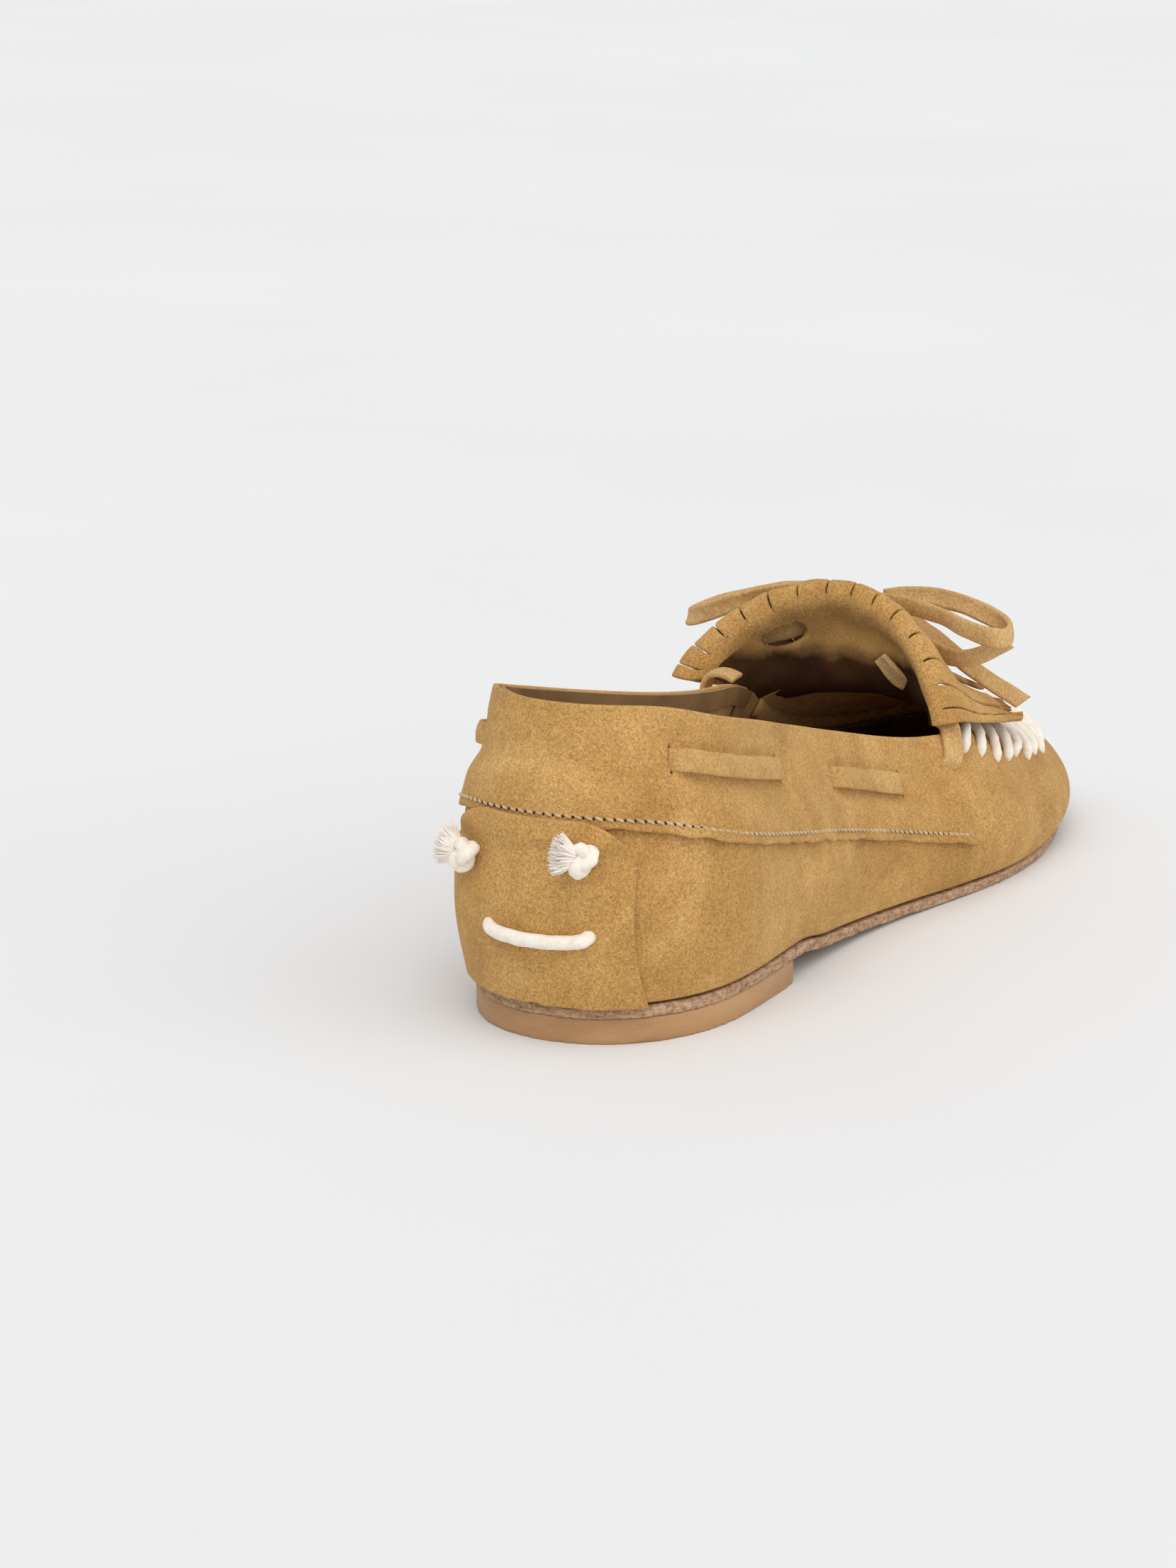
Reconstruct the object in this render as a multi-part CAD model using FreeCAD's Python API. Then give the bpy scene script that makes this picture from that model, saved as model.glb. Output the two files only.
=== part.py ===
import FreeCAD, Part
import math
import os

# A right-foot kiltie moccasin: thin leather sole with a low heel block, a wrapped suede vamp,
# an apron joined by whip stitches, a collar with a lace run through it, a fringed fold-over
# tongue with a bow, and a heel patch with two cord knots and a bar stitch.
#
# Working coordinates: x is positive towards the inner (medial) side of the foot, s runs forward
# from the back of the heel, z is up from the floor. All in millimetres. place() turns them into
# the part's own frame: the toe points to -Y, the inner side is +X, the origin is on the floor.

# ---- overall sizes ----
LENGTH = 250.0
CENTRE_X = -2.65
CENTRE_S = 120.15

# ---- bottom unit ----
HEEL_HALF_WIDTH = 31.9
HEEL_DEPTH = 40.0
HEEL_ROUNDNESS = 2.11
HEEL_BREAST = 65.0
HEEL_BLOCK_HEIGHT = 6.0
SOLE_THICKNESS = 2.8
SOLE_MARGIN = 0.3
SEAT_HEIGHT = HEEL_BLOCK_HEIGHT + SOLE_THICKNESS
SEAT_END = 65.5
SEAT_BLEND = 20.0
FEATHER_HEIGHT = [(50, 8.4), (78, 6.7), (105, 4.5), (140, 3.1), (168, 2.8), (200, 3.5),
                  (225, 5.2), (250, 8.0)]
MEDIAL_EDGE = [(52, 31.2), (66, 28.8), (82, 25.2), (100, 22.6), (122, 24.2), (146, 30.4),
               (168, 35.0), (188, 35.8), (211, 31.8), (230, 24.6), (243, 15.0)]
LATERAL_EDGE = [(52, 31.8), (66, 31.2), (82, 30.3), (102, 30.0), (126, 32.6), (150, 37.6),
                (168, 40.6), (188, 41.0), (212, 37.0), (231, 29.6), (244.5, 18.0)]
TOE_X = -1.5

# ---- upper shape ----
TOPLINE_LATERAL = [(0, 77), (12, 76), (30, 71.5), (57, 64.5), (80, 58), (100, 52.3), (120, 46.6),
                   (134, 43.2), (150, 40.6)]
TOPLINE_MEDIAL = [(0, 77), (12, 76.2), (30, 72.5), (57, 66.5), (80, 61.5), (100, 57.5), (120, 54),
                  (135, 51), (150, 46)]
TOP_BLEND_START = 146.0
TOP_BLEND_END = 162.0
APRON_SPINE = [(120, 68), (140, 62), (150, 57.5), (165, 50.5), (180, 44.5), (200, 38.0),
               (215, 34.0), (235, 29.5), (250, 27)]
APRON_CROWN = 0.0142
APRON_CROWN_FRONT = 0.0108
APRON_CENTRE_X = -2.65
PROFILE_KNOTS = (0.0, 0.12, 0.28, 0.5, 0.75, 1.0)
PROFILE_HEEL = (0.8, 2.8, 4.0, 3.0, -0.8, -4.5)
PROFILE_QUARTER = (0.3, 2.0, 2.6, 1.2, -2.5, -6.0)
PROFILE_FOREPART = (0.5, 2.4, 3.0, 1.6, -2.6, -9.0)
PROFILE_TOE = (0.3, 1.8, 2.0, -0.6, -6.5, -15.0)

# ---- leather thicknesses and layers, measured inward from the outer face of the vamp ----
SUEDE = 1.4
LAYER_GAP = 0.3
STIFFENER = 0.8
LINING = 0.8
STIFFENER_OUT = -(SUEDE + LAYER_GAP)
STIFFENER_IN = STIFFENER_OUT - STIFFENER
COUNTER_EASE = 0.2
LINING_OUT = STIFFENER_IN - 0.1
LINING_IN = LINING_OUT - LINING
LINING_TOP = 0.82
LINING_JOIN = 112.0
LINING_JOIN_GAP = 0.3
FACING_LOW = 0.90

# ---- layers of the bottom, measured up from the feather line ----
FILLER_BASE = 0.1
FILLER_THICKNESS = 1.2
FILLER_INSET = 13.0
FILLER_START = 118.0
FILLER_END = 232.0
SHANK_START = 48.0
SHANK_END = 116.0
SHANK_LEFT = -8.0
SHANK_WIDTH = 14.0
BOARD_BASE = 1.4
BOARD_THICKNESS = 1.6
BOARD_INSET = 4.6
PAD_BASE = 3.1
PAD_THICKNESS = 3.0
PAD_INSET = 8.0
PAD_END = 60.0
SOCK_GAP = 0.2
SOCK_THICKNESS = 0.9
SOCK_INSET = 5.0

# ---- collar, heel patch and apron patterns ----
COLLAR_LOWER = [(0, 52.6), (9, 51.0), (22, 46.6), (55, 37.0), (92, 28.0), (125, 20.0), (160, 12.0)]
COLLAR_OVERLAP = 5.0
COLLAR_FRONT_TOP = 153.0
COLLAR_FRONT_LOW = 151.0
BACK_SEAM_SHIFT = 1.5
BACK_SEAM_GAP = 0.08
SKIVE_DEPTH = 0.4
SKIVE_REACH = 10.0
PATCH_HALF_TOP = 22.2
PATCH_HALF_BASE = 24.2
PATCH_TOP = 53.6
PATCH_CORNER = 12.0
PATCH_LAP_START = 45.6
PATCH_LAP_RISE = 4.6
APRON_REAR = 158.0
APRON_REAR_SAG = 5.0
APRON_REAR_HALF = 27.0
APRON_INSET = 0.9
VAMP_TOP = 0.965
VAMP_RISE = 145.5
STITCH_DIAMETER = 1.9
STITCH_START = 155.0
STITCH_COUNT = 29

# ---- lace and cotton cord ----
LACE_WIDTH = 5.2
LACE_THICKNESS = 1.5
LACE_DROP = 11.4
LACE_WINDOWS = ((15.0, 62.0), (93.5, 126.0))
LACE_END = 139.0
LACE_EXITS = {-1: (146.5, 5.0), 1: (140.0, 0.0)}  # station and lift of the last slot on each side
SLOT_REACH = 2.6
CORD_DIAMETER = 3.4
KNOT_CENTRE = 0.4
KNOT_SPACING = 24.8
KNOT_HEIGHT = 42.7
KNOT_TILT = 1.5
KNOT_BALL = 6.4
TUFT_WIDTH = 6.6
TUFT_LENGTH = 7.4
BAR_CENTRE = -2.4
BAR_HEIGHT = 25.5
BAR_LENGTH = 21.4
BAR_SAG = 0.65


class Smooth:
    """A natural cubic spline through (place, value) pairs."""

    def __init__(self, pairs):
        self.t = [float(p[0]) for p in pairs]
        self.y = [float(p[1]) for p in pairs]
        n = len(self.t)
        lower = [0.0] * n
        diagonal = [1.0] * n
        upper = [0.0] * n
        right = [0.0] * n
        for i in range(1, n - 1):
            before = self.t[i] - self.t[i - 1]
            after = self.t[i + 1] - self.t[i]
            lower[i] = before
            diagonal[i] = 2.0 * (before + after)
            upper[i] = after
            rise_after = (self.y[i + 1] - self.y[i]) / after
            rise_before = (self.y[i] - self.y[i - 1]) / before
            right[i] = 6.0 * (rise_after - rise_before)
        for i in range(1, n):
            factor = lower[i] / diagonal[i - 1]
            diagonal[i] -= factor * upper[i - 1]
            right[i] -= factor * right[i - 1]
        self.m = [0.0] * n
        self.m[-1] = right[-1] / diagonal[-1]
        for i in range(n - 2, -1, -1):
            self.m[i] = (right[i] - upper[i] * self.m[i + 1]) / diagonal[i]

    def __call__(self, t):
        t = min(max(t, self.t[0]), self.t[-1])
        i = 0
        while i < len(self.t) - 2 and t > self.t[i + 1]:
            i += 1
        h = self.t[i + 1] - self.t[i]
        a = (self.t[i + 1] - t) / h
        b = (t - self.t[i]) / h
        curve = (a ** 3 - a) * self.m[i] + (b ** 3 - b) * self.m[i + 1]
        return a * self.y[i] + b * self.y[i + 1] + curve * h * h / 6.0


def smoothstep(t):
    t = min(max(t, 0.0), 1.0)
    return t * t * (3.0 - 2.0 * t)


def mix(a, b, t):
    return a + (b - a) * t


def place(x, s, z):
    return FreeCAD.Vector(x - CENTRE_X, CENTRE_S - s, z)


# ---- the plan outline, as a closed smooth curve through its design points ----

def heel_half_width(s):
    if s >= HEEL_DEPTH:
        return HEEL_HALF_WIDTH
    reach = 1.0 - (1.0 - s / HEEL_DEPTH) ** HEEL_ROUNDNESS
    return HEEL_HALF_WIDTH * reach ** (1.0 / HEEL_ROUNDNESS)


HEEL_STATIONS = (1.0, 4.0, 9.0, 17.0, 27.0, 39.0)
OUTLINE = [(0.0, 0.0)]
OUTLINE += [(heel_half_width(s), s) for s in HEEL_STATIONS]
OUTLINE += [(x, s) for s, x in MEDIAL_EDGE]
OUTLINE += [(TOE_X, LENGTH)]
OUTLINE += [(-x, s) for s, x in reversed(LATERAL_EDGE)]
OUTLINE += [(-heel_half_width(s), s) for s in reversed(HEEL_STATIONS)]


def closed_curve(points, extra=4):
    """Smooth x(t) and s(t) through closed points, with t from 0 to 1 by chord length."""
    count = len(points)
    ring = [points[i % count] for i in range(-extra, count + extra + 1)]
    t = [0.0]
    for a, b in zip(ring, ring[1:]):
        t.append(t[-1] + math.hypot(b[0] - a[0], b[1] - a[1]))
    start = t[extra]
    total = t[extra + count] - start
    t = [(v - start) / total for v in t]
    across = Smooth([(v, p[0]) for v, p in zip(t, ring)])
    along = Smooth([(v, p[1]) for v, p in zip(t, ring)])
    return across, along, total


OUTLINE_X, OUTLINE_S, PERIMETER = closed_curve(OUTLINE)


def outline(u):
    u = u % 1.0
    return OUTLINE_X(u), OUTLINE_S(u)


def outline_normal(u):
    step = 0.002
    ax, a_s = outline(u - step)
    bx, b_s = outline(u + step)
    size = math.hypot(bx - ax, b_s - a_s)
    return (b_s - a_s) / size, -(bx - ax) / size


def find_toe():
    return max((i / 1000.0 for i in range(300, 700)), key=OUTLINE_S)


TOE_U = find_toe()


def u_at(s, side):
    """The outline parameter at station s: side 1 is medial, -1 lateral (as a negative u)."""
    low, high = (0.0, TOE_U) if side > 0 else (0.0, 1.0 - TOE_U)
    for _ in range(40):
        middle = (low + high) / 2.0
        if OUTLINE_S(middle if side > 0 else 1.0 - middle) < s:
            low = middle
        else:
            high = middle
    return low if side > 0 else -low


# ---- heights and the wall surface ----

forward_feather = Smooth(FEATHER_HEIGHT)
topline_lateral = Smooth(TOPLINE_LATERAL)
topline_medial = Smooth(TOPLINE_MEDIAL)
apron_spine = Smooth(APRON_SPINE)
collar_lower = Smooth(COLLAR_LOWER)
PROFILES = [Smooth(list(zip(PROFILE_KNOTS, values)))
            for values in (PROFILE_HEEL, PROFILE_QUARTER, PROFILE_FOREPART, PROFILE_TOE)]


def feather(s):
    """Height of the line where the upper meets the sole: level over the heel block."""
    return mix(SEAT_HEIGHT, forward_feather(s), smoothstep((s - SEAT_END) / SEAT_BLEND))


def apron_height(x, s):
    crown = mix(APRON_CROWN, APRON_CROWN_FRONT, smoothstep((s - 160.0) / 28.0))
    return apron_spine(s) - crown * (x - APRON_CENTRE_X) ** 2


def wall_bulge(s, v):
    """How far the wall stands outside the sole outline at station s and height fraction v."""
    heel, quarter, forepart, toe = [profile(v) for profile in PROFILES]
    bulge = mix(heel, quarter, smoothstep((s - 20.0) / 45.0))
    bulge = mix(bulge, forepart, smoothstep((s - 125.0) / 40.0))
    return mix(bulge, toe, smoothstep((s - 205.0) / 42.0))


def wall_plan(u, v):
    x, s = outline(u)
    nx, ns = outline_normal(u)
    bulge = wall_bulge(s, v)
    return x + nx * bulge, s + ns * bulge


def wall_top(u):
    s = outline(u)[1]
    side_top = topline_medial(s) if u % 1.0 < TOE_U else topline_lateral(s)
    x_seam, s_seam = wall_plan(u, 1.0)
    blend = smoothstep((s - TOP_BLEND_START) / (TOP_BLEND_END - TOP_BLEND_START))
    return mix(side_top, apron_height(x_seam, s_seam), blend)


def wall_point(u, v):
    x, s = wall_plan(u, v)
    base = feather(outline(u)[1])
    return FreeCAD.Vector(x, s, mix(base, wall_top(u), v))


def wall_v(u, z):
    """The height fraction at which the wall reaches height z."""
    base = feather(outline(u)[1])
    return (z - base) / (wall_top(u) - base)


def wall(u, v, offset):
    """The wall surface moved outward along its own normal."""
    du, dv = 0.003, 0.02
    along = wall_point(u + du, v) - wall_point(u - du, v)
    up = wall_point(u, v + dv) - wall_point(u, v - dv)
    normal = along.cross(up)
    normal.normalize()
    return wall_point(u, v) + normal * offset


# ---- solids from surfaces ----

def face_from_grid(grid):
    surface = Part.BSplineSurface()
    surface.interpolate(grid)
    return surface.toShape()


def slab(surface, inner, outer, columns, rows):
    """A closed sheet: surface(a, b, offset) for a, b from 0 to 1, between two offsets."""
    def grid(offset):
        result = []
        for i in range(columns + 1):
            a = i / columns
            column = []
            for j in range(rows + 1):
                b = j / rows
                depth = offset(a, b) if callable(offset) else offset
                p = surface(a, b, depth)
                column.append(place(p.x, p.y, p.z))
            result.append(column)
        return result

    outside = face_from_grid(grid(outer))
    inside = face_from_grid(grid(inner))
    faces = [outside, inside]
    outer_surface = outside.Surface
    inner_surface = inside.Surface
    ou0, ou1, ov0, ov1 = outer_surface.bounds()
    iu0, iu1, iv0, iv1 = inner_surface.bounds()
    pairs = [(outer_surface.uIso(ou0), inner_surface.uIso(iu0)),
             (outer_surface.uIso(ou1), inner_surface.uIso(iu1)),
             (outer_surface.vIso(ov0), inner_surface.vIso(iv0)),
             (outer_surface.vIso(ov1), inner_surface.vIso(iv1))]
    for one, other in pairs:
        faces.append(Part.makeRuledSurface(one.toShape(), other.toShape(), 1))
    return solid_from_faces(faces)


def solid_from_faces(faces):
    shell = Part.makeShell(faces)
    shell.sewShape()
    if shell.ShapeType == "Compound":
        shell = shell.Shells[0]
    solid = Part.makeSolid(shell)
    if solid.Volume < 0:
        solid.reverse()
    return solid


def wall_patch(u0, u1, v0, v1, inner, outer, columns=40, rows=8):
    """A sheet on the wall. v0 and v1 may be numbers or functions of u."""
    def surface(a, b, offset):
        u = mix(u0, u1, a)
        low = v0(u) if callable(v0) else v0
        high = v1(u) if callable(v1) else v1
        return wall(u, mix(low, high, b), offset)

    return slab(surface, inner, outer, columns, rows)


def plan_prism(inset, low, high, count=72):
    """The sole outline moved inward by inset and raised from low to high."""
    points = []
    for i in range(count):
        u = i / count
        x, s = outline(u)
        nx, ns = outline_normal(u)
        points.append(place(x - nx * inset, s - ns * inset, low))
    curve = Part.BSplineCurve()
    curve.interpolate(Points=points, PeriodicFlag=True)
    face = Part.Face(Part.Wire([curve.toShape()]))
    return face.extrude(FreeCAD.Vector(0, 0, high - low))


def side_band(lower, upper, s0, s1, half_width=80.0, steps=60):
    """A slab across the shoe whose lower and upper faces follow height functions of s."""
    def edge(height):
        points = [place(-half_width, mix(s0, s1, i / steps), height(mix(s0, s1, i / steps)))
                  for i in range(steps + 1)]
        curve = Part.BSplineCurve()
        curve.interpolate(points)
        return curve.toShape(), points[0], points[-1]

    low, low_a, low_b = edge(lower)
    top, top_a, top_b = edge(upper)
    wire = Part.Wire([low, Part.makeLine(low_b, top_b), top, Part.makeLine(top_a, low_a)])
    return Part.Face(wire).extrude(FreeCAD.Vector(2.0 * half_width, 0, 0))


def layer_plate(inset, base, thickness, s0=-10.0, s1=LENGTH + 10.0):
    """A plate following the feather line, base above it, inset from the outline."""
    def low(s):
        return feather(s) + base

    def top(s):
        return feather(s) + base + thickness

    return plan_prism(inset, -5.0, 60.0).common(side_band(low, top, s0, s1))


# ---- the bottom unit ----

def outsole():
    def bottom(s):
        return feather(s) - SOLE_THICKNESS

    band = side_band(bottom, feather, -10.0, LENGTH + 10.0)
    return plan_prism(-SOLE_MARGIN, -5.0, 40.0).common(band)


def heel_block():
    """The low block under the heel seat, cut square at its breast."""
    half = HEEL_HALF_WIDTH + 20.0
    corner = place(-half, HEEL_BREAST, 0.0)
    front = Part.makeBox(2.0 * half, HEEL_BREAST + 20.0, HEEL_BLOCK_HEIGHT, corner)
    return plan_prism(0.0, -5.0, 40.0).common(front)


def bottom_filler():
    return layer_plate(FILLER_INSET, FILLER_BASE, FILLER_THICKNESS, FILLER_START, FILLER_END)


def shank():
    """A narrow spring strip under the arch, between sole and insole board."""
    def low(s):
        return feather(s) + FILLER_BASE

    def top(s):
        return feather(s) + FILLER_BASE + FILLER_THICKNESS

    band = side_band(low, top, SHANK_START, SHANK_END)
    corner = place(SHANK_LEFT, SHANK_END, -5.0)
    return band.common(Part.makeBox(SHANK_WIDTH, SHANK_END - SHANK_START, 40.0, corner))


def insole_board():
    return layer_plate(BOARD_INSET, BOARD_BASE, BOARD_THICKNESS)


def heel_pad_top(s):
    return feather(s) + PAD_BASE + PAD_THICKNESS * smoothstep((PAD_END + 6.0 - s) / 22.0)


def heel_pad():
    def low(s):
        return feather(s) + PAD_BASE

    def top(s):
        return heel_pad_top(s) + SOCK_GAP / 2.0

    return plan_prism(PAD_INSET, -5.0, 60.0).common(side_band(low, top, -10.0, PAD_END))


def sock_lining():
    def low(s):
        return heel_pad_top(s) + SOCK_GAP

    def top(s):
        return heel_pad_top(s) + SOCK_GAP + SOCK_THICKNESS

    return plan_prism(SOCK_INSET, -5.0, 60.0).common(side_band(low, top, -10.0, LENGTH + 10.0))


# ---- the upper ----

BACK_U = BACK_SEAM_SHIFT / PERIMETER
SEAM_GAP = BACK_SEAM_GAP / PERIMETER


def vamp():
    """One wrap from the back seam round the toe, skived at the seam and cut low under the collar."""
    def inner(a, b):
        from_seam = min(a, 1.0 - a) * PERIMETER
        return -SUEDE + SKIVE_DEPTH * (1.0 - smoothstep(from_seam / SKIVE_REACH))

    wrap = wall_patch(BACK_U + SEAM_GAP, BACK_U + 1.0 - SEAM_GAP, 0.0, VAMP_TOP, inner, 0.0, 170, 12)
    half = 80.0
    stations = [mix(-12.0, VAMP_RISE, i / 24.0) for i in range(25)]
    edge = Part.BSplineCurve()
    edge.interpolate([place(-half, s, collar_lower(s) + COLLAR_OVERLAP) for s in stations])
    corners = [edge.EndPoint, place(-half, VAMP_RISE, 100.0), place(-half, LENGTH + 20.0, 100.0),
               place(-half, LENGTH + 20.0, -20.0), place(-half, -12.0, -20.0), edge.StartPoint]
    sides = [Part.makeLine(a, b) for a, b in zip(corners, corners[1:])]
    pattern = Part.Face(Part.Wire([edge.toShape()] + sides)).extrude(FreeCAD.Vector(2.0 * half, 0, 0))
    return wrap.common(pattern)


def collar_cover(u, v):
    """1 where the collar lies over the vamp, 0 where it stands alone."""
    x, s = wall_plan(u, v)
    above = v - wall_v(u, collar_lower(s) + COLLAR_OVERLAP)
    low_edge = smoothstep((0.14 - above) / 0.11)
    front = smoothstep((s - VAMP_RISE + 6.0) / 5.5)
    return max(low_edge, front)


def collar_offset(depth):
    def offset(u, v):
        return depth + (SUEDE + LAYER_GAP) * collar_cover(u, v)
    return offset


def collar_map(a, b):
    """(u, v) on the wall for the collar pattern: a from the lateral front to the medial front."""
    front = mix(COLLAR_FRONT_LOW, COLLAR_FRONT_TOP, b)
    u = mix(u_at(front, -1), u_at(front, 1), a)
    s = outline(u)[1]
    low = wall_v(u, collar_lower(s))
    return u, mix(low, 1.0, b)


def collar():
    outer = collar_offset(0.0)
    inner = collar_offset(-SUEDE)

    def surface(a, b, depth):
        u, v = collar_map(a, b)
        return wall(u, v, depth)

    band = slab(surface, lambda a, b: inner(*collar_map(a, b)), lambda a, b: outer(*collar_map(a, b)),
                150, 18)
    for slot in lace_slots():
        band = band.cut(slot)
    return band


def lace_v(u):
    return 1.0 - LACE_DROP / (wall_top(u) - feather(outline(u)[1]))


def lace_height_map(u, across, lift=0.0):
    """v on the wall, across the lace: -1 is its lower edge and 1 its upper edge."""
    height = wall_top(u) - feather(outline(u)[1])
    return lace_v(u) + (across * LACE_WIDTH / 2.0 + lift) / height


def slot_stations(side):
    """Station of each slot on one side, and how far it sits above the line of the lace."""
    return [(s, 0.0) for window in LACE_WINDOWS for s in window] + [LACE_EXITS[side]]


def lace_slots():
    """Cuts through the collar where the lace passes from one face to the other."""
    cutters = []
    for side in (-1, 1):
        for s, lift in slot_stations(side):
            u = u_at(s, side)
            reach = SLOT_REACH / PERIMETER

            def surface(a, b, offset, u=u, reach=reach, lift=lift):
                here = mix(u - reach, u + reach, a)
                return wall(here, lace_height_map(here, mix(-1.15, 1.15, b), lift), offset)

            cutters.append(slab(surface, -SUEDE - 1.2, SUEDE + 2.0, 4, 4))
    return cutters


def lace_outside(u):
    """1 where the lace lies on the outside of the collar, 0 where it is behind it."""
    s = outline(u)[1]
    shown = 0.0
    for start, end in LACE_WINDOWS:
        rise = smoothstep((s - start + SLOT_REACH) / (2.0 * SLOT_REACH))
        fall = smoothstep((end + SLOT_REACH - s) / (2.0 * SLOT_REACH))
        shown = max(shown, rise * fall)
    return shown


def collar_lace():
    """The lace inside the collar, out through a slot, in through the next, round the heel."""
    hidden = -SUEDE - 0.1
    shown = LACE_THICKNESS + 0.12
    side_places = [-u_at(s, -1) for s in lace_joins()]
    joins = [-u for u in reversed(side_places)] + [u_at(s, 1) for s in lace_joins()]
    lengths = []
    for first, last in zip(joins, joins[1:]):
        gap = 0.01 / PERIMETER

        def surface(a, b, offset, first=first + gap, last=last - gap):
            u = mix(first, last, a)
            return wall(u, lace_height_map(u, mix(-1.0, 1.0, b)), offset)

        def outer(a, b, first=first + gap, last=last - gap):
            return mix(hidden, shown, lace_outside(mix(first, last, a)))

        def inner(a, b, outer=outer):
            return outer(a, b) - LACE_THICKNESS * 0.62

        lengths.append(slab(surface, inner, outer, 36, 3))
    return Part.makeCompound(lengths)


def lace_joins():
    """Stations where one length of the modelled lace meets the next, clear of the slots."""
    (rear_start, rear_end), (front_start, front_end) = LACE_WINDOWS
    return [7.0, (rear_start + rear_end) / 2.0, (rear_end + front_start) / 2.0,
            (front_start + front_end) / 2.0, LACE_END]


def heel_patch():
    """A patch over the back seam, its rounded top lying over the collar's lower edge."""
    reach = 42.0 / PERIMETER
    low, high = -0.02, 0.76

    def inner(a, b):
        z = wall_point(mix(BACK_U - reach, BACK_U + reach, a), mix(low, high, b)).z
        return LAYER_GAP + (SUEDE + 0.4) * smoothstep((z - PATCH_LAP_START) / PATCH_LAP_RISE)

    def outer(a, b):
        return inner(a, b) + SUEDE

    skin = wall_patch(BACK_U - reach, BACK_U + reach, low, high, inner, outer, 24, 24)
    base = feather(0.0) - 1.5
    x0 = BACK_SEAM_SHIFT - PATCH_HALF_BASE
    x1 = BACK_SEAM_SHIFT + PATCH_HALF_BASE
    t0 = BACK_SEAM_SHIFT - PATCH_HALF_TOP
    t1 = BACK_SEAM_SHIFT + PATCH_HALF_TOP
    shoulder = PATCH_TOP - PATCH_CORNER
    corners = [(x0, base), (t0 - 1.0, shoulder), (t0 + 2.6, PATCH_TOP - 2.6), (t0 + PATCH_CORNER, PATCH_TOP),
               (t1 - PATCH_CORNER, PATCH_TOP), (t1 - 2.6, PATCH_TOP - 2.6), (t1 + 1.0, shoulder), (x1, base)]
    p = [place(x, -30.0, z) for x, z in corners]
    edges = [Part.makeLine(p[0], p[1]), Part.Arc(p[1], p[2], p[3]).toShape(), Part.makeLine(p[3], p[4]),
             Part.Arc(p[4], p[5], p[6]).toShape(), Part.makeLine(p[6], p[7]), Part.makeLine(p[7], p[0])]
    window = Part.Face(Part.Wire(edges)).extrude(FreeCAD.Vector(0, -70.0, 0))
    return skin.common(window)


def heel_counter():
    reach = u_at(62.0, 1)
    return wall_patch(-reach, reach, 0.06, 0.56, STIFFENER_IN, STIFFENER_OUT - COUNTER_EASE, 60, 8)


def toe_puff():
    return wall_patch(u_at(205.0, 1), 1.0 + u_at(205.0, -1), 0.08, 0.78, STIFFENER_IN, STIFFENER_OUT, 40, 6)


def quarter_lining():
    gap = LINING_JOIN_GAP / PERIMETER
    first = u_at(LINING_JOIN, -1) + gap
    last = u_at(LINING_JOIN, 1) - gap
    return wall_patch(first, last, 0.03, LINING_TOP, LINING_IN, LINING_OUT, 60, 8)


def topline_facing():
    """The suede band that finishes the inside of the collar, above the lining."""
    first = u_at(COLLAR_FRONT_TOP - 6.0, -1)
    last = u_at(COLLAR_FRONT_TOP - 6.0, 1)
    return wall_patch(first, last, FACING_LOW, 0.995, STIFFENER_IN, STIFFENER_OUT, 70, 3)


def vamp_lining():
    gap = LINING_JOIN_GAP / PERIMETER
    first = u_at(LINING_JOIN, 1) + gap
    last = 1.0 + u_at(LINING_JOIN, -1) - gap
    return wall_patch(first, last, 0.04, LINING_TOP, LINING_IN, LINING_OUT, 70, 8)


def apron():
    """The plug on top of the forefoot, ending in a shallow curve behind."""
    def surface(a, b, offset):
        x = mix(-44.0, 38.0, a)
        s = mix(146.0, 246.0, b)
        return FreeCAD.Vector(x, s, apron_height(x, s) + offset)

    sheet = slab(surface, -SUEDE, 0.0, 16, 20)
    points = []
    first = u_at(APRON_REAR - 10.0, 1)
    last = 1.0 + u_at(APRON_REAR - 10.0, -1)
    for i in range(41):
        u = mix(first, last, i / 40.0)
        x, s = wall_plan(u, 1.0)
        nx, ns = outline_normal(u)
        points.append(place(x - nx * APRON_INSET, s - ns * APRON_INSET, 0.0))
    seam = Part.BSplineCurve()
    seam.interpolate(points)
    outline_face = Part.Face(Part.Wire([seam.toShape(), Part.makeLine(points[-1], points[0])]))
    plug = sheet.common(outline_face.extrude(FreeCAD.Vector(0, 0, 90.0)))
    radius = (APRON_REAR_HALF ** 2 + APRON_REAR_SAG ** 2) / (2.0 * APRON_REAR_SAG)
    centre = place(APRON_CENTRE_X, APRON_REAR + APRON_REAR_SAG - radius, -5.0)
    return plug.cut(Part.makeCylinder(radius, 100.0, centre))


def tube(points, diameter):
    """A round tube along a smooth curve through a few points."""
    curve = Part.BSplineCurve()
    curve.interpolate(points)
    path = Part.Wire([curve.toShape()])
    tangent = curve.tangent(curve.FirstParameter)[0]
    ring = Part.Wire([Part.makeCircle(diameter / 2.0, points[0], tangent)])
    return path.makePipeShell([ring], True, True)


def whip_stitches():
    """Cord stitches over the seam between vamp and apron, evenly spaced round the toe."""
    first = u_at(STITCH_START, 1)
    last = 1.0 + u_at(STITCH_START, -1)
    clear = STITCH_DIAMETER / 2.0 + 0.15
    stitches = []
    for i in range(STITCH_COUNT):
        u = mix(first, last, (i + 0.5) / STITCH_COUNT)
        lean = 1.4 / PERIMETER
        low = wall(u - lean, 0.84, clear)
        middle = wall(u, 0.965, clear + 0.7)
        x, s = wall_plan(u + lean, 1.0)
        nx, ns = outline_normal(u)
        x -= nx * 5.0
        s -= ns * 5.0
        high = FreeCAD.Vector(x, s, apron_height(x, s) + clear)
        stitches.append(tube([place(p.x, p.y, p.z) for p in (low, middle, high)], STITCH_DIAMETER))
    return Part.makeCompound(stitches)


# ---- the fold-over tongue: a sheet through a row of arches, from its root to the fringe ----

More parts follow.
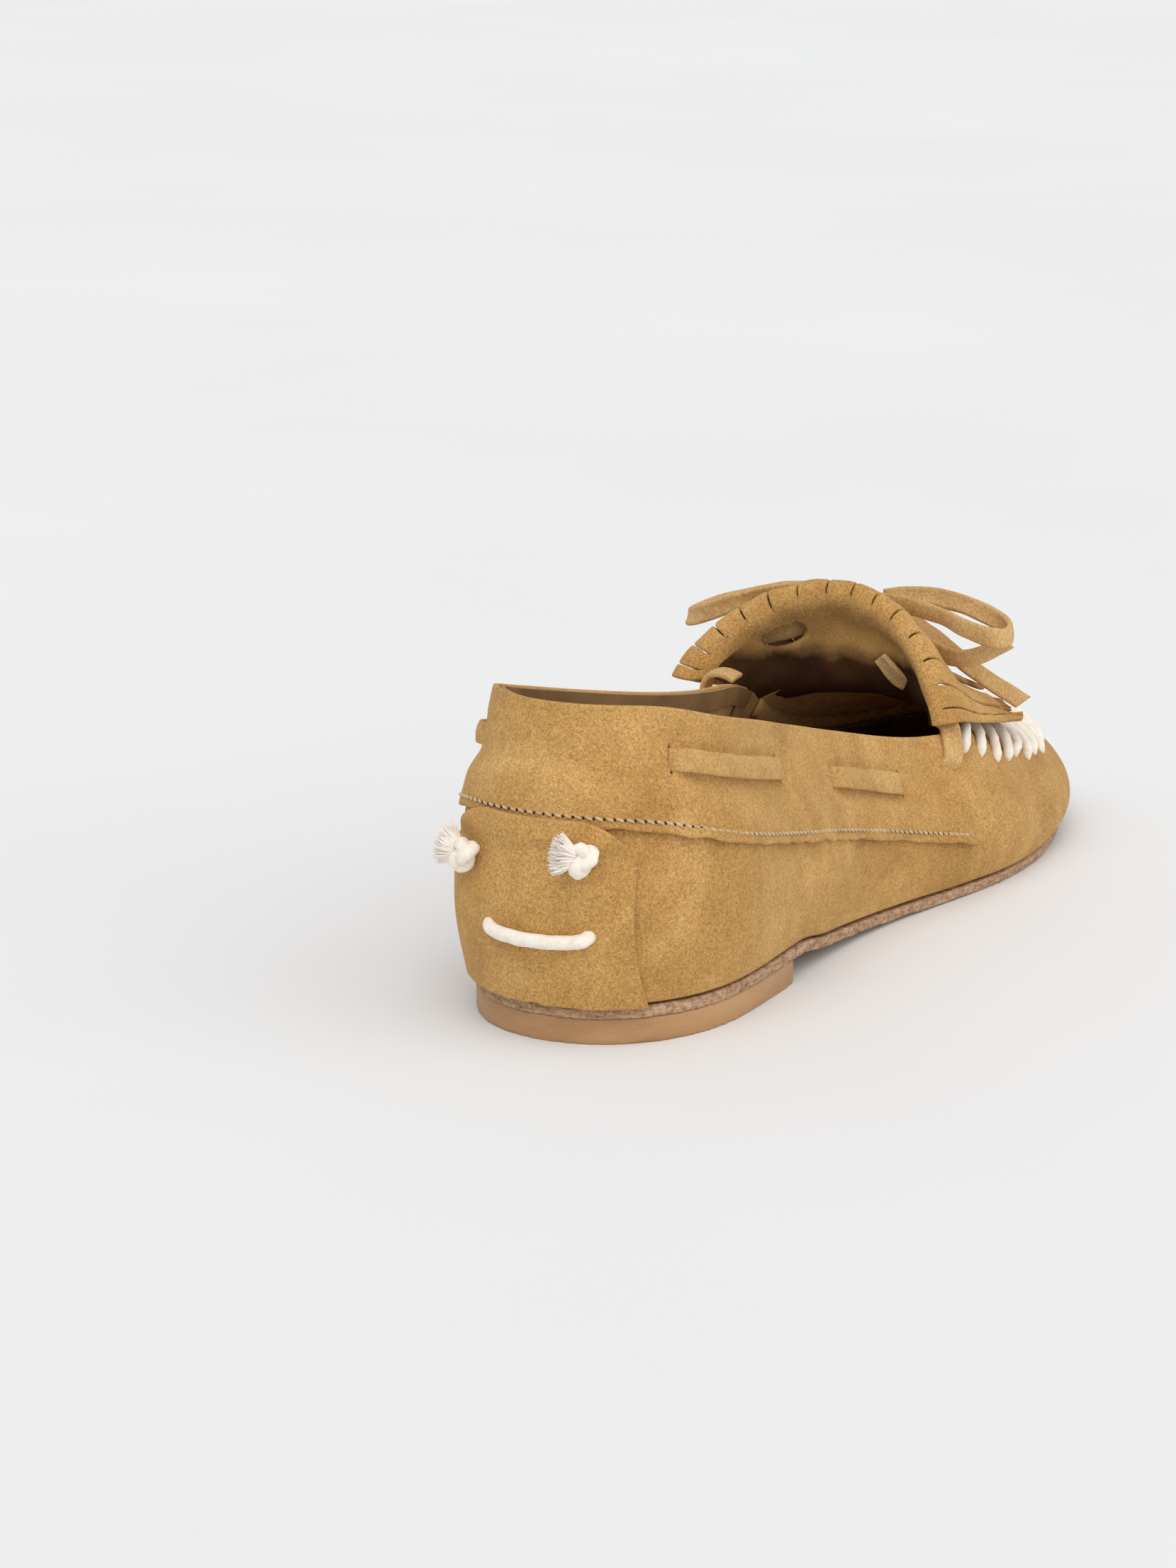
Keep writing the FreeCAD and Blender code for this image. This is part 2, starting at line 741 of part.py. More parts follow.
ARCH_FULLNESS = 1.35
TONGUE_ARCHES = [  # lateral end, crown, medial end of each arch
    ((-26.9, 155.0, 42.6), (-3.0, 160.2, 52.8), (20.8, 155.0, 44.0)),
    ((-27.6, 152.5, 43.2), (-3.0, 157.5, 59.0), (24.0, 149.0, 48.4)),
    ((-28.6, 149.0, 43.6), (-2.5, 154.0, 67.2), (28.4, 142.0, 51.6)),
    ((-29.8, 146.5, 43.8), (-2.0, 150.8, 72.6), (32.6, 137.0, 52.8)),
    ((-32.0, 147.0, 44.2), (-2.0, 152.8, 75.8), (35.6, 136.6, 53.6)),
    ((-34.0, 151.0, 44.2), (-2.0, 156.9, 73.4), (36.2, 140.0, 52.4)),
    ((-35.2, 160.0, 42.4), (-2.5, 163.0, 62.4), (34.5, 151.0, 48.0)),
    ((-36.3, 173.0, 39.6), (-3.0, 175.0, 54.0), (32.0, 167.0, 43.0)),
    ((-37.2, 191.0, 36.6), (-3.0, 192.0, 46.4), (29.5, 186.0, 38.6)),
]
FRINGE_START = 0.37
FRINGE_STRIPS = 15
FRINGE_GAP = 0.7
LACE_HOLE_LATERAL = (0.30, 0.16)
LACE_HOLE_MEDIAL = (0.70, 0.20)


def arch_point(arch, a):
    lateral, crown, medial = arch
    end = lateral if a < 0.5 else medial
    turn = (a - 0.5) * math.pi
    across = abs(math.sin(turn))
    lift = max(math.cos(turn), 0.0) ** ARCH_FULLNESS
    x = mix(crown[0], end[0], across)
    s = mix(end[1], crown[1], lift)
    z = mix(end[2], crown[2], lift)
    return FreeCAD.Vector(x, s, z)


def tongue_line(a):
    """Smooth x, s, z from the root (0) to the end of the flap (1) at one place across."""
    points = [arch_point(arch, a) for arch in TONGUE_ARCHES]
    t = [0.0]
    for p, q in zip(points, points[1:]):
        t.append(t[-1] + (q - p).Length)
    t = [v / t[-1] for v in t]
    return [Smooth(list(zip(t, [p[axis] for p in points]))) for axis in range(3)]


TONGUE_COLUMNS = 32
TONGUE_LINES = [tongue_line(i / (4.0 * TONGUE_COLUMNS)) for i in range(4 * TONGUE_COLUMNS + 1)]


def tongue_point(a, c):
    """A point on the middle of the sheet: a across from lateral, c from root to fringe end."""
    place_a = min(max(a, 0.0), 1.0) * 4 * TONGUE_COLUMNS
    i = min(int(place_a), 4 * TONGUE_COLUMNS - 1)
    part = place_a - i
    one, two = TONGUE_LINES[i], TONGUE_LINES[i + 1]
    return FreeCAD.Vector(*[mix(one[k](c), two[k](c), part) for k in range(3)])


def tongue_sheet(a, c, offset):
    da, dc = 0.012, 0.008
    across = tongue_point(min(a + da, 1.0), c) - tongue_point(max(a - da, 0.0), c)
    along = tongue_point(a, min(c + dc, 1.0)) - tongue_point(a, max(c - dc, 0.0))
    normal = across.cross(along)
    normal.normalize()
    return tongue_point(a, c) - normal * offset


def kiltie_tongue():
    sheet = slab(tongue_sheet, -SUEDE / 2.0, SUEDE / 2.0, TONGUE_COLUMNS, 44)
    for i in range(1, FRINGE_STRIPS):
        a = i / FRINGE_STRIPS
        half = FRINGE_GAP / 2.0 / 95.0

        def cut(p, q, offset, a=a, half=half):
            return tongue_sheet(mix(a - half, a + half, p), mix(FRINGE_START, 0.999, q), offset)

        sheet = sheet.cut(slab(cut, -SUEDE * 1.2, SUEDE * 1.2, 2, 24))
    for a, c in (LACE_HOLE_LATERAL, LACE_HOLE_MEDIAL):
        def hole(p, q, offset, a=a, c=c):
            return tongue_sheet(a + mix(-0.04, 0.04, p), c + mix(-0.02, 0.02, q), offset)

        sheet = sheet.cut(slab(hole, -SUEDE * 1.2, SUEDE * 1.2, 2, 2))
    return sheet


# ---- the bow and the free ends of the lace ----

BOW_KNOT = (-1.0, 166.0, 68.2)
BOW_KNOT_SIZE = (9.0, 6.6, 7.0)
LACE_TUBE = 3.0
BOW_LOOP_LATERAL = [(-5.9, 164.2, 69.4), (-14.0, 163.0, 70.0), (-25.0, 163.2, 67.4), (-34.0, 163.8, 63.8),
                    (-39.6, 167.2, 62.6), (-39.6, 173.6, 63.0), (-34.0, 177.0, 65.2), (-24.0, 177.2, 68.4),
                    (-13.0, 174.8, 70.2), (-5.9, 168.8, 69.4)]
BOW_LOOP_MEDIAL = [(3.9, 164.2, 69.8), (14.0, 161.6, 71.2), (27.0, 160.0, 68.4), (38.5, 159.6, 63.4),
                   (46.4, 162.4, 60.0), (47.2, 169.8, 60.2), (40.0, 174.4, 63.0), (27.0, 175.0, 66.8),
                   (14.0, 173.4, 69.4), (3.9, 168.8, 69.6)]
LACE_TAIL_LATERAL = [(-6.7, 167.0, 66.2), (-12.0, 170.6, 65.0), (-18.6, 175.6, 58.2), (-26.4, 180.0, 50.6),
                     (-33.0, 184.0, 45.4), (-37.4, 186.6, 42.2)]
LACE_TAIL_FRONT = [(-3.0, 170.6, 65.2), (-8.6, 173.2, 61.2), (-18.0, 171.0, 57.4), (-25.4, 168.4, 55.6),
                   (-32.4, 169.0, 57.0), (-38.0, 172.4, 60.4)]
ROUTES = {"bow_loop_lateral": BOW_LOOP_LATERAL, "bow_loop_medial": BOW_LOOP_MEDIAL,
          "lace_tail_lateral": LACE_TAIL_LATERAL, "lace_tail_front": LACE_TAIL_FRONT}


def free_lace(name):
    """A tube of straight runs joined by tangent arcs through the named route."""
    points = [place(*p) for p in ROUTES[name]]
    edges = []
    start = points[0]
    radii = []
    for before, here, after in zip(points, points[1:], points[2:]):
        back = before - here
        ahead = after - here
        shorter = min(back.Length, ahead.Length)
        turn = math.pi - back.getAngle(ahead)
        reach = 0.45 * shorter
        radius = reach / math.tan(turn / 2.0)
        radii.append(round(radius, 1))
        back.normalize()
        ahead.normalize()
        one = here + back * reach
        two = here + ahead * reach
        bisector = back + ahead
        bisector.normalize()
        middle = here + bisector * (radius / math.cos(turn / 2.0) - radius)
        edges.append(Part.LineSegment(start, one).toShape())
        edges.append(Part.Arc(one, middle, two).toShape())
        start = two
    edges.append(Part.LineSegment(start, points[-1]).toShape())
    path = Part.Wire(edges)
    ring = Part.Wire([Part.makeCircle(LACE_TUBE / 2.0, points[0], points[1] - points[0])])
    solid = path.makePipeShell([ring], True, True)
    expected = math.pi * LACE_TUBE ** 2 / 4.0 * path.Length
    print(name, "radii", radii, "length", round(path.Length, 1), "volume ratio",
          round(solid.Volume / expected, 4))
    return solid


def bow_knot():
    """A rounded block where the lace is tied."""
    x, s, z = BOW_KNOT
    wide, deep, tall = BOW_KNOT_SIZE
    corner = place(x - wide / 2.0, s + deep / 2.0, z - tall / 2.0)
    block = Part.makeBox(wide, deep, tall, corner)
    return block.makeFillet(2.2, block.Edges)


def ribbon(points, upright, width, thickness):
    """A flat strip along a smooth curve, its width turned towards upright at each point."""
    t = [i / (len(points) - 1.0) for i in range(len(points))]
    line = [Smooth(list(zip(t, [p[k] for p in points]))) for k in range(3)]
    turn = [Smooth(list(zip(t, [p[k] for p in upright]))) for k in range(3)]

    def at(curves, a):
        return FreeCAD.Vector(*[curve(a) for curve in curves])

    def surface(a, b, offset):
        along = at(line, min(a + 0.02, 1.0)) - at(line, max(a - 0.02, 0.0))
        side = at(turn, a)
        side = side - along * (side.dot(along) / along.dot(along))
        side.normalize()
        face = along.cross(side)
        face.normalize()
        return at(line, a) + side * mix(-width / 2.0, width / 2.0, b) + face * offset

    return slab(surface, -thickness / 2.0, thickness / 2.0, 24, 3)


LACE_RUN_LATERAL = [(-36.1, 147.2, 35.7), (-35.0, 148.4, 38.2), (-34.0, 149.6, 40.6), (-33.5, 150.3, 42.0)]
LACE_RUN_MEDIAL = [(27.6, 139.4, 38.4), (29.0, 138.4, 44.0), (27.6, 137.0, 51.8), (22.8, 136.4, 53.8),
                   (19.0, 136.4, 52.6)]
RUN_TURN_LATERAL = [(0.2, 1.0, -0.3), (0.25, 1.0, -0.3), (0.3, 1.0, -0.3), (0.3, 1.0, -0.3)]
RUN_TURN_MEDIAL = [(0.0, 1.0, -0.3), (0.0, 1.0, -0.2), (0.0, 1.0, 0.0), (0.0, 1.0, 0.1), (0.0, 1.0, 0.2)]


def lace_run_lateral():
    return ribbon(LACE_RUN_LATERAL, RUN_TURN_LATERAL, LACE_WIDTH * 0.7, LACE_THICKNESS)


def lace_run_medial():
    return ribbon(LACE_RUN_MEDIAL, RUN_TURN_MEDIAL, LACE_WIDTH * 0.7, LACE_THICKNESS)


# ---- the cotton cord on the heel ----

def back_wall(x_shift, z, offset):
    """A point behind the heel: x_shift along the wall from the back seam, at height z."""
    u = BACK_U + x_shift / PERIMETER
    p = wall(u, wall_v(u, z), offset)
    return place(p.x, p.y, p.z)


def heel_knot(shift, height):
    """A round knot flaring into its frayed cord end, turned about the line from one to the other."""
    radius = KNOT_BALL / 2.0
    clear = LAYER_GAP * 2.0 + SUEDE + radius
    centre = back_wall(shift, height, clear)
    direction = back_wall(shift + 7.0, height + 2.0, clear + 1.6) - centre
    turn = FreeCAD.Rotation(FreeCAD.Vector(0, 0, 1), direction)
    neck = math.radians(50.0)
    bottom = FreeCAD.Vector(0, 0, -radius)
    side = FreeCAD.Vector(radius, 0, 0)
    joint = FreeCAD.Vector(radius * math.cos(neck), 0, radius * math.sin(neck))
    rim = FreeCAD.Vector(TUFT_WIDTH / 2.0, 0, TUFT_LENGTH)
    top = FreeCAD.Vector(0, 0, TUFT_LENGTH)
    edges = [Part.Arc(bottom, side, joint).toShape(), Part.makeLine(joint, rim), Part.makeLine(rim, top),
             Part.makeLine(top, bottom)]
    knot = Part.Face(Part.Wire(edges)).revolve(FreeCAD.Vector(0, 0, 0), FreeCAD.Vector(0, 0, 1), 360.0)
    knot.Placement = FreeCAD.Placement(centre, turn)
    return knot


def heel_bar_stitch():
    clear = LAYER_GAP * 2.0 + SUEDE + CORD_DIAMETER / 2.0
    half = BAR_LENGTH / 2.0
    places = (-1.0, -0.5, 0.0, 0.5, 1.0)
    points = [back_wall(BAR_CENTRE + half * t, BAR_HEIGHT + BAR_SAG * t * t, clear) for t in places]
    return tube(points, CORD_DIAMETER)


PARTS = {
    "outsole": outsole,
    "heel_block": heel_block,
    "bottom_filler": bottom_filler,
    "shank": shank,
    "insole_board": insole_board,
    "heel_pad": heel_pad,
    "sock_lining": sock_lining,
    "vamp": vamp,
    "collar": collar,
    "collar_lace": collar_lace,
    "heel_patch": heel_patch,
    "heel_counter": heel_counter,
    "toe_puff": toe_puff,
    "quarter_lining": quarter_lining,
    "topline_facing": topline_facing,
    "vamp_lining": vamp_lining,
    "apron": apron,
    "whip_stitches": whip_stitches,
    "kiltie_tongue": kiltie_tongue,
    "bow_knot": bow_knot,
    "lace_run_lateral": lace_run_lateral,
    "lace_run_medial": lace_run_medial,
    "heel_knot_medial": lambda: heel_knot(KNOT_CENTRE + KNOT_SPACING / 2.0, KNOT_HEIGHT - KNOT_TILT),
    "heel_knot_lateral": lambda: heel_knot(KNOT_CENTRE - KNOT_SPACING / 2.0, KNOT_HEIGHT + KNOT_TILT),
    "heel_bar_stitch": heel_bar_stitch,
}
for route in ROUTES:
    PARTS[route] = lambda route=route: free_lace(route)

os.makedirs("parts", exist_ok=True)
for name, make in PARTS.items():
    shape = make()
    box = shape.optimalBoundingBox()
    print(name, len(shape.Solids), shape.isValid(), round(shape.Volume),
          [round(v, 1) for v in (box.XMin, box.XMax, box.YMin, box.YMax, box.ZMin, box.ZMax)])
    shape.exportStep("parts/" + name + ".step")
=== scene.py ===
import math

import bpy
import numpy as np
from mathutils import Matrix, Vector
from mathutils.kdtree import KDTree


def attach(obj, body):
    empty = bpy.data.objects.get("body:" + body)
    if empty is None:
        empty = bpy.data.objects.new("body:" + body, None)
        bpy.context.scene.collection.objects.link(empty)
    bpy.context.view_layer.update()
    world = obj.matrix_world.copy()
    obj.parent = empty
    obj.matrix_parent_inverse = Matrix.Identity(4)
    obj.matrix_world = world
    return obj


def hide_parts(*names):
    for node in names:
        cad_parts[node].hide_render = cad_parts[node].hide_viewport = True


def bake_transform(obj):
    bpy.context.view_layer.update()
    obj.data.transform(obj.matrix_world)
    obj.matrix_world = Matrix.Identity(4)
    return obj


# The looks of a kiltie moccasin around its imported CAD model. Shapes are worked out in shoe
# millimetres: x towards the inner side of the foot, s forward from the heel, z up. place() turns
# them into the part's frame in metres, with the toe towards -Y.

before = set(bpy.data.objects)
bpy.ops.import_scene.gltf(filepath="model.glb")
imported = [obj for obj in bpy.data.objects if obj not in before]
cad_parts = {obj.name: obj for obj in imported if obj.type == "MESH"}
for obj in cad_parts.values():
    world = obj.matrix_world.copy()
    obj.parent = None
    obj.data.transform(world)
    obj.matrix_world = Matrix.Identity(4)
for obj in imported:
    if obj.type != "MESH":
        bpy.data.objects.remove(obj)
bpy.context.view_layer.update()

MM = 0.001
LENGTH = 250.0
CENTRE_X = -2.65
CENTRE_S = 120.15

# ---- sizes that the CAD model has too ----
HEEL_HALF_WIDTH = 31.9
HEEL_DEPTH = 40.0
HEEL_ROUNDNESS = 2.11
SEAT_HEIGHT = 8.8
SEAT_END = 65.5
SEAT_BLEND = 20.0
FEATHER_HEIGHT = [(50, 8.4), (78, 6.7), (105, 4.5), (140, 3.1), (168, 2.8), (200, 3.5),
                  (225, 5.2), (250, 8.0)]
MEDIAL_EDGE = [(52, 31.2), (66, 28.8), (82, 25.2), (100, 22.6), (122, 24.2), (146, 30.4),
               (168, 35.0), (188, 35.8), (211, 31.8), (230, 24.6), (243, 15.0)]
LATERAL_EDGE = [(52, 31.8), (66, 31.2), (82, 30.3), (102, 30.0), (126, 32.6), (150, 37.6),
                (168, 40.6), (188, 41.0), (212, 37.0), (231, 29.6), (244.5, 18.0)]
TOE_X = -1.5
HEEL_STATIONS = (1.0, 4.0, 9.0, 17.0, 27.0, 39.0)
TOPLINE_LATERAL = [(0, 77), (12, 76), (30, 71.5), (57, 64.5), (80, 58), (100, 52.3), (120, 46.6),
                   (134, 43.2), (150, 40.6)]
TOPLINE_MEDIAL = [(0, 77), (12, 76.2), (30, 72.5), (57, 66.5), (80, 61.5), (100, 57.5), (120, 54),
                  (135, 51), (150, 46)]
TOP_BLEND_START = 146.0
TOP_BLEND_END = 162.0
APRON_SPINE = [(120, 68), (140, 62), (150, 57.5), (165, 50.5), (180, 44.5), (200, 38.0),
               (215, 34.0), (235, 29.5), (250, 27)]
APRON_CROWN = 0.0142
APRON_CROWN_FRONT = 0.0108
CROWN_BLEND_START = 160.0
CROWN_BLEND = 28.0
APRON_CENTRE_X = -2.65
PROFILE_KNOTS = (0.0, 0.12, 0.28, 0.5, 0.75, 1.0)
PROFILE_BLENDS = ((20.0, 45.0), (125.0, 40.0), (205.0, 42.0))  # where each profile starts, and how softly
PROFILE_HEEL = (0.8, 2.8, 4.0, 3.0, -0.8, -4.5)
PROFILE_QUARTER = (0.3, 2.0, 2.6, 1.2, -2.5, -6.0)
PROFILE_FOREPART = (0.5, 2.4, 3.0, 1.6, -2.6, -9.0)
PROFILE_TOE = (0.3, 1.8, 2.0, -0.6, -6.5, -15.0)
SUEDE = 1.4
LAYER_GAP = 0.3
COLLAR_LOWER = [(0, 50.6), (9, 49.2), (22, 45.2), (55, 36.4), (92, 28.0), (125, 20.0), (160, 12.0)]
COLLAR_OVERLAP = 5.0
COLLAR_FRONT_TOP = 153.0
COLLAR_FRONT_LOW = 151.0
BACK_SEAM_SHIFT = 1.5
PATCH_HALF_TOP = 21.2
PATCH_HALF_BASE = 23.3
PATCH_TOP = 52.0
PATCH_CORNER = 12.0
PATCH_LAP_START = 43.8
PATCH_LAP_RISE = 4.6
APRON_REAR = 158.0
APRON_REAR_SAG = 5.0
LACE_WIDTH = 5.2
LACE_THICKNESS = 1.5
LACE_DROP = 11.4
LACE_WINDOWS = ((15.0, 62.0), (93.5, 126.0))
LACE_EXITS = {-1: (147.0, 6.2), 1: (140.0, 0.0)}  # station and lift of the last slot on each side
STITCH_START = 155.0
STITCH_COUNT = 29
STITCH_LEAN = -3.2
STITCH_RADIUS = 1.3
STITCH_DROPS = (5.8, 4.2)  # below the seam, at the rear and at the toe
STITCH_OVER_APRON = ((2.2, 1.2), (3.6, 0.7), (4.4, -0.9))  # way in from the edge, height over the apron
ARCH_FULLNESS = 1.35
TONGUE_ARCHES = [  # lateral end, crown, medial end of each arch
    ((-24.5, 168.0, 37.6), (-3.0, 171.0, 44.4), (25.0, 167.0, 38.6)),
    ((-26.6, 157.0, 42.0), (-3.0, 162.0, 49.2), (26.0, 154.5, 43.0)),
    ((-27.6, 152.5, 43.2), (-3.0, 157.5, 59.0), (27.0, 147.8, 46.6)),
    ((-28.6, 149.0, 43.6), (-2.5, 154.0, 67.2), (28.8, 142.0, 50.2)),
    ((-29.8, 146.5, 43.8), (-2.0, 150.8, 72.6), (33.4, 137.0, 50.4)),
    ((-32.0, 147.0, 44.2), (-2.0, 152.8, 75.8), (36.8, 136.6, 50.8)),
    ((-34.0, 151.0, 44.2), (-2.0, 156.9, 73.4), (37.4, 140.0, 49.8)),
    ((-35.2, 160.0, 42.4), (-2.5, 163.0, 62.4), (35.4, 151.0, 46.4)),
    ((-36.3, 173.0, 39.6), (-3.0, 175.0, 54.0), (32.0, 167.0, 43.0)),
    ((-37.2, 191.0, 36.6), (-3.0, 192.0, 46.4), (29.5, 186.0, 38.6)),
]
FRINGE_STRIPS = 15
BAR_CENTRE = -2.4
BAR_HEIGHT = 25.5
BAR_LENGTH = 21.4
BAR_SAG = 0.65
BAR_RADIUS = 1.62
KNOT_CENTRE = 0.4
KNOT_SPACING = 24.8
KNOT_HEIGHT = 42.7
KNOT_TILT = 1.5
KNOT_CORD_RADIUS = 1.5
BOW_KNOT = (-1.0, 166.0, 68.2)

# ---- the free lace: routes of the two loops and the two tails, as in the CAD model ----
BOW_LOOP_LATERAL = [(-5.9, 164.2, 69.4), (-14.0, 163.0, 70.0), (-25.0, 163.2, 67.4), (-34.0, 163.8, 63.8),
                    (-39.6, 167.2, 62.6), (-39.6, 173.6, 63.0), (-34.0, 177.0, 65.2), (-24.0, 177.2, 68.4),
                    (-13.0, 174.8, 70.2), (-5.9, 168.8, 69.4)]
BOW_LOOP_MEDIAL = [(3.9, 164.2, 69.8), (14.0, 161.6, 71.2), (27.0, 160.0, 68.4), (38.5, 159.6, 63.4),
                   (46.4, 162.4, 60.0), (47.2, 169.8, 60.2), (40.0, 174.4, 63.0), (27.0, 175.0, 66.8),
                   (14.0, 173.4, 69.4), (3.9, 168.8, 69.6)]
LACE_TAIL_LATERAL = [(-6.7, 167.0, 66.2), (-12.0, 170.6, 65.0), (-18.6, 175.6, 58.2), (-26.4, 180.0, 50.6),
                     (-33.0, 184.0, 45.4), (-37.4, 186.6, 42.2)]
LACE_TAIL_FRONT = [(-3.0, 170.6, 65.2), (-8.6, 173.2, 61.2), (-18.0, 171.0, 57.4), (-25.4, 168.4, 55.6),
                   (-32.4, 169.0, 57.0), (-38.0, 172.4, 60.4)]


def place(points):
    """Shoe millimetres (x, s, z) to metres in the part's frame."""
    p = np.asarray(points, float)
    return np.stack([p[..., 0] - CENTRE_X, CENTRE_S - p[..., 1], p[..., 2]], axis=-1) * MM


# ---- camera: the viewing angle behind the heel, from the outer side ----

CAMERA_PLACE = Vector((-0.4331, 0.9136, 0.2971))
CAMERA_AIM = Vector((0.0777, -0.0416, 0.0125))


def add_object(name, data):
    found = bpy.data.objects.new(name, data)
    bpy.context.scene.collection.objects.link(found)
    return found


def add_camera():
    data = bpy.data.cameras.new("camera")
    data.sensor_fit = "VERTICAL"
    data.sensor_height = 36.0
    data.lens = 97.65
    camera = add_object("camera", data)
    camera.location = CAMERA_PLACE
    camera.rotation_euler = (CAMERA_AIM - CAMERA_PLACE).to_track_quat("-Z", "Y").to_euler()
    bpy.context.scene.camera = camera


add_camera()


# ---- smooth curves and the wall of the upper ----

class Smooth:
    """A natural cubic spline through (place, value) pairs, for arrays."""

    def __init__(self, pairs):
        self.t, self.y = np.array(pairs, float).T
        gap = np.diff(self.t)
        count = len(self.t)
        system = np.eye(count)
        right = np.zeros(count)
        for i in range(1, count - 1):
            system[i, i - 1:i + 2] = gap[i - 1], 2.0 * (gap[i - 1] + gap[i]), gap[i]
            rise_after = (self.y[i + 1] - self.y[i]) / gap[i]
            rise_before = (self.y[i] - self.y[i - 1]) / gap[i - 1]
            right[i] = 6.0 * (rise_after - rise_before)
        self.m = np.linalg.solve(system, right)

    def __call__(self, t):
        t = np.clip(t, self.t[0], self.t[-1])
        i = np.clip(np.searchsorted(self.t, t) - 1, 0, len(self.t) - 2)
        h = self.t[i + 1] - self.t[i]
        a = (self.t[i + 1] - t) / h
        b = (t - self.t[i]) / h
        curve = (a ** 3 - a) * self.m[i] + (b ** 3 - b) * self.m[i + 1]
        return a * self.y[i] + b * self.y[i + 1] + curve * h * h / 6.0


def smoothstep(t):
    t = np.clip(t, 0.0, 1.0)
    return t * t * (3.0 - 2.0 * t)


def mix(a, b, t):
    return a + (b - a) * t


def steps_along(points):
    """Distance from the first point to each point of a line."""
    return np.concatenate([[0.0], np.cumsum(np.linalg.norm(np.diff(points, axis=0), axis=1))])


def heel_half_width(s):
    reach = 1.0 - (1.0 - min(s, HEEL_DEPTH) / HEEL_DEPTH) ** HEEL_ROUNDNESS
    return HEEL_HALF_WIDTH * reach ** (1.0 / HEEL_ROUNDNESS)


OUTLINE = [(0.0, 0.0)]
OUTLINE += [(heel_half_width(s), s) for s in HEEL_STATIONS]
OUTLINE += [(x, s) for s, x in MEDIAL_EDGE]
OUTLINE += [(TOE_X, LENGTH)]
OUTLINE += [(-x, s) for s, x in reversed(LATERAL_EDGE)]
OUTLINE += [(-heel_half_width(s), s) for s in reversed(HEEL_STATIONS)]


def closed_curve(points, extra=4):
    """Smooth x(t) and s(t) through closed points, with t from 0 to 1 by chord length."""
    count = len(points)
    ring = np.array([points[i % count] for i in range(-extra, count + extra + 1)])
    t = steps_along(ring)
    total = t[extra + count] - t[extra]
    t = (t - t[extra]) / total
    return Smooth(np.column_stack([t, ring[:, 0]])), Smooth(np.column_stack([t, ring[:, 1]])), total


OUTLINE_X, OUTLINE_S, PERIMETER = closed_curve(OUTLINE)
SIDE_SAMPLES = np.linspace(0.0, 1.0, 4001)
TOE_U = SIDE_SAMPLES[np.argmax(OUTLINE_S(SIDE_SAMPLES))]
BACK_U = BACK_SEAM_SHIFT / PERIMETER


def outline(u):
    u = np.mod(u, 1.0)
    return OUTLINE_X(u), OUTLINE_S(u)


def outline_normal(u):
    step = 0.002
    ax, a_s = outline(u - step)
    bx, b_s = outline(u + step)
    size = np.hypot(bx - ax, b_s - a_s)
    return (b_s - a_s) / size, -(bx - ax) / size


def u_at(s, side):
    """The outline parameter at station s: side 1 is medial, -1 lateral (as a negative u)."""
    if side > 0:
        u = np.linspace(0.0, TOE_U, 1500)
        return np.interp(s, OUTLINE_S(u), u)
    u = np.linspace(0.0, 1.0 - TOE_U, 1500)
    return -np.interp(s, OUTLINE_S(1.0 - u), u)


forward_feather = Smooth(FEATHER_HEIGHT)
topline_lateral = Smooth(TOPLINE_LATERAL)
topline_medial = Smooth(TOPLINE_MEDIAL)
apron_spine = Smooth(APRON_SPINE)
collar_lower = Smooth(COLLAR_LOWER)
PROFILES = [Smooth(list(zip(PROFILE_KNOTS, values)))
            for values in (PROFILE_HEEL, PROFILE_QUARTER, PROFILE_FOREPART, PROFILE_TOE)]


def feather(s):
    """Height of the line where the upper meets the sole: level over the heel block."""
    return mix(SEAT_HEIGHT, forward_feather(s), smoothstep((s - SEAT_END) / SEAT_BLEND))


def apron_height(x, s):
    crown = mix(APRON_CROWN, APRON_CROWN_FRONT, smoothstep((s - CROWN_BLEND_START) / CROWN_BLEND))
    return apron_spine(s) - crown * (x - APRON_CENTRE_X) ** 2


def wall_plan(u, v):
    """x and s of the wall at outline parameter u and height fraction v."""
    x, s = outline(u)
    nx, ns = outline_normal(u)
    bulge, *ahead = [profile(v) for profile in PROFILES]
    for (start, reach), next_bulge in zip(PROFILE_BLENDS, ahead):
        bulge = mix(bulge, next_bulge, smoothstep((s - start) / reach))
    return x + nx * bulge, s + ns * bulge


def wall_top(u):
    s = outline(u)[1]
    side_top = np.where(np.mod(u, 1.0) < TOE_U, topline_medial(s), topline_lateral(s))
    x_seam, s_seam = wall_plan(u, np.ones_like(u))
    blend = smoothstep((s - TOP_BLEND_START) / (TOP_BLEND_END - TOP_BLEND_START))
    return mix(side_top, apron_height(x_seam, s_seam), blend)


def wall_height(u):
    return wall_top(u) - feather(outline(u)[1])


def wall_point(u, v):
    x, s = wall_plan(u, v)
    return np.stack([x, s, feather(outline(u)[1]) + v * wall_height(u)], axis=-1)


def wall_v(u, z):
    """The height fraction at which the wall reaches height z."""
    return (z - feather(outline(u)[1])) / wall_height(u)


def unit(vectors):
    return vectors / np.maximum(np.linalg.norm(vectors, axis=-1, keepdims=True), 1e-9)


def wall(u, v, offset=0.0):
    """The wall surface moved outward along its own normal."""
    u, v, offset = np.broadcast_arrays(np.asarray(u, float), v, offset)
    du, dv = 0.003, 0.02
    along = wall_point(u + du, v) - wall_point(u - du, v)
    up = wall_point(u, v + dv) - wall_point(u, v - dv)
    return wall_point(u, v) + unit(np.cross(along, up)) * offset[..., None]


def ripple(points, size, seed):
    """Smooth uneven values from -1 to 1 over places in millimetres, about size across."""
    draw = np.random.default_rng(seed)
    total = 0.0
    waves = 9
    for _ in range(waves):
        direction = unit(draw.normal(size=3)) / size * draw.uniform(0.6, 1.5)
        total = total + np.cos(2.0 * math.pi * (points @ direction + draw.uniform()))
    return total / waves ** 0.5


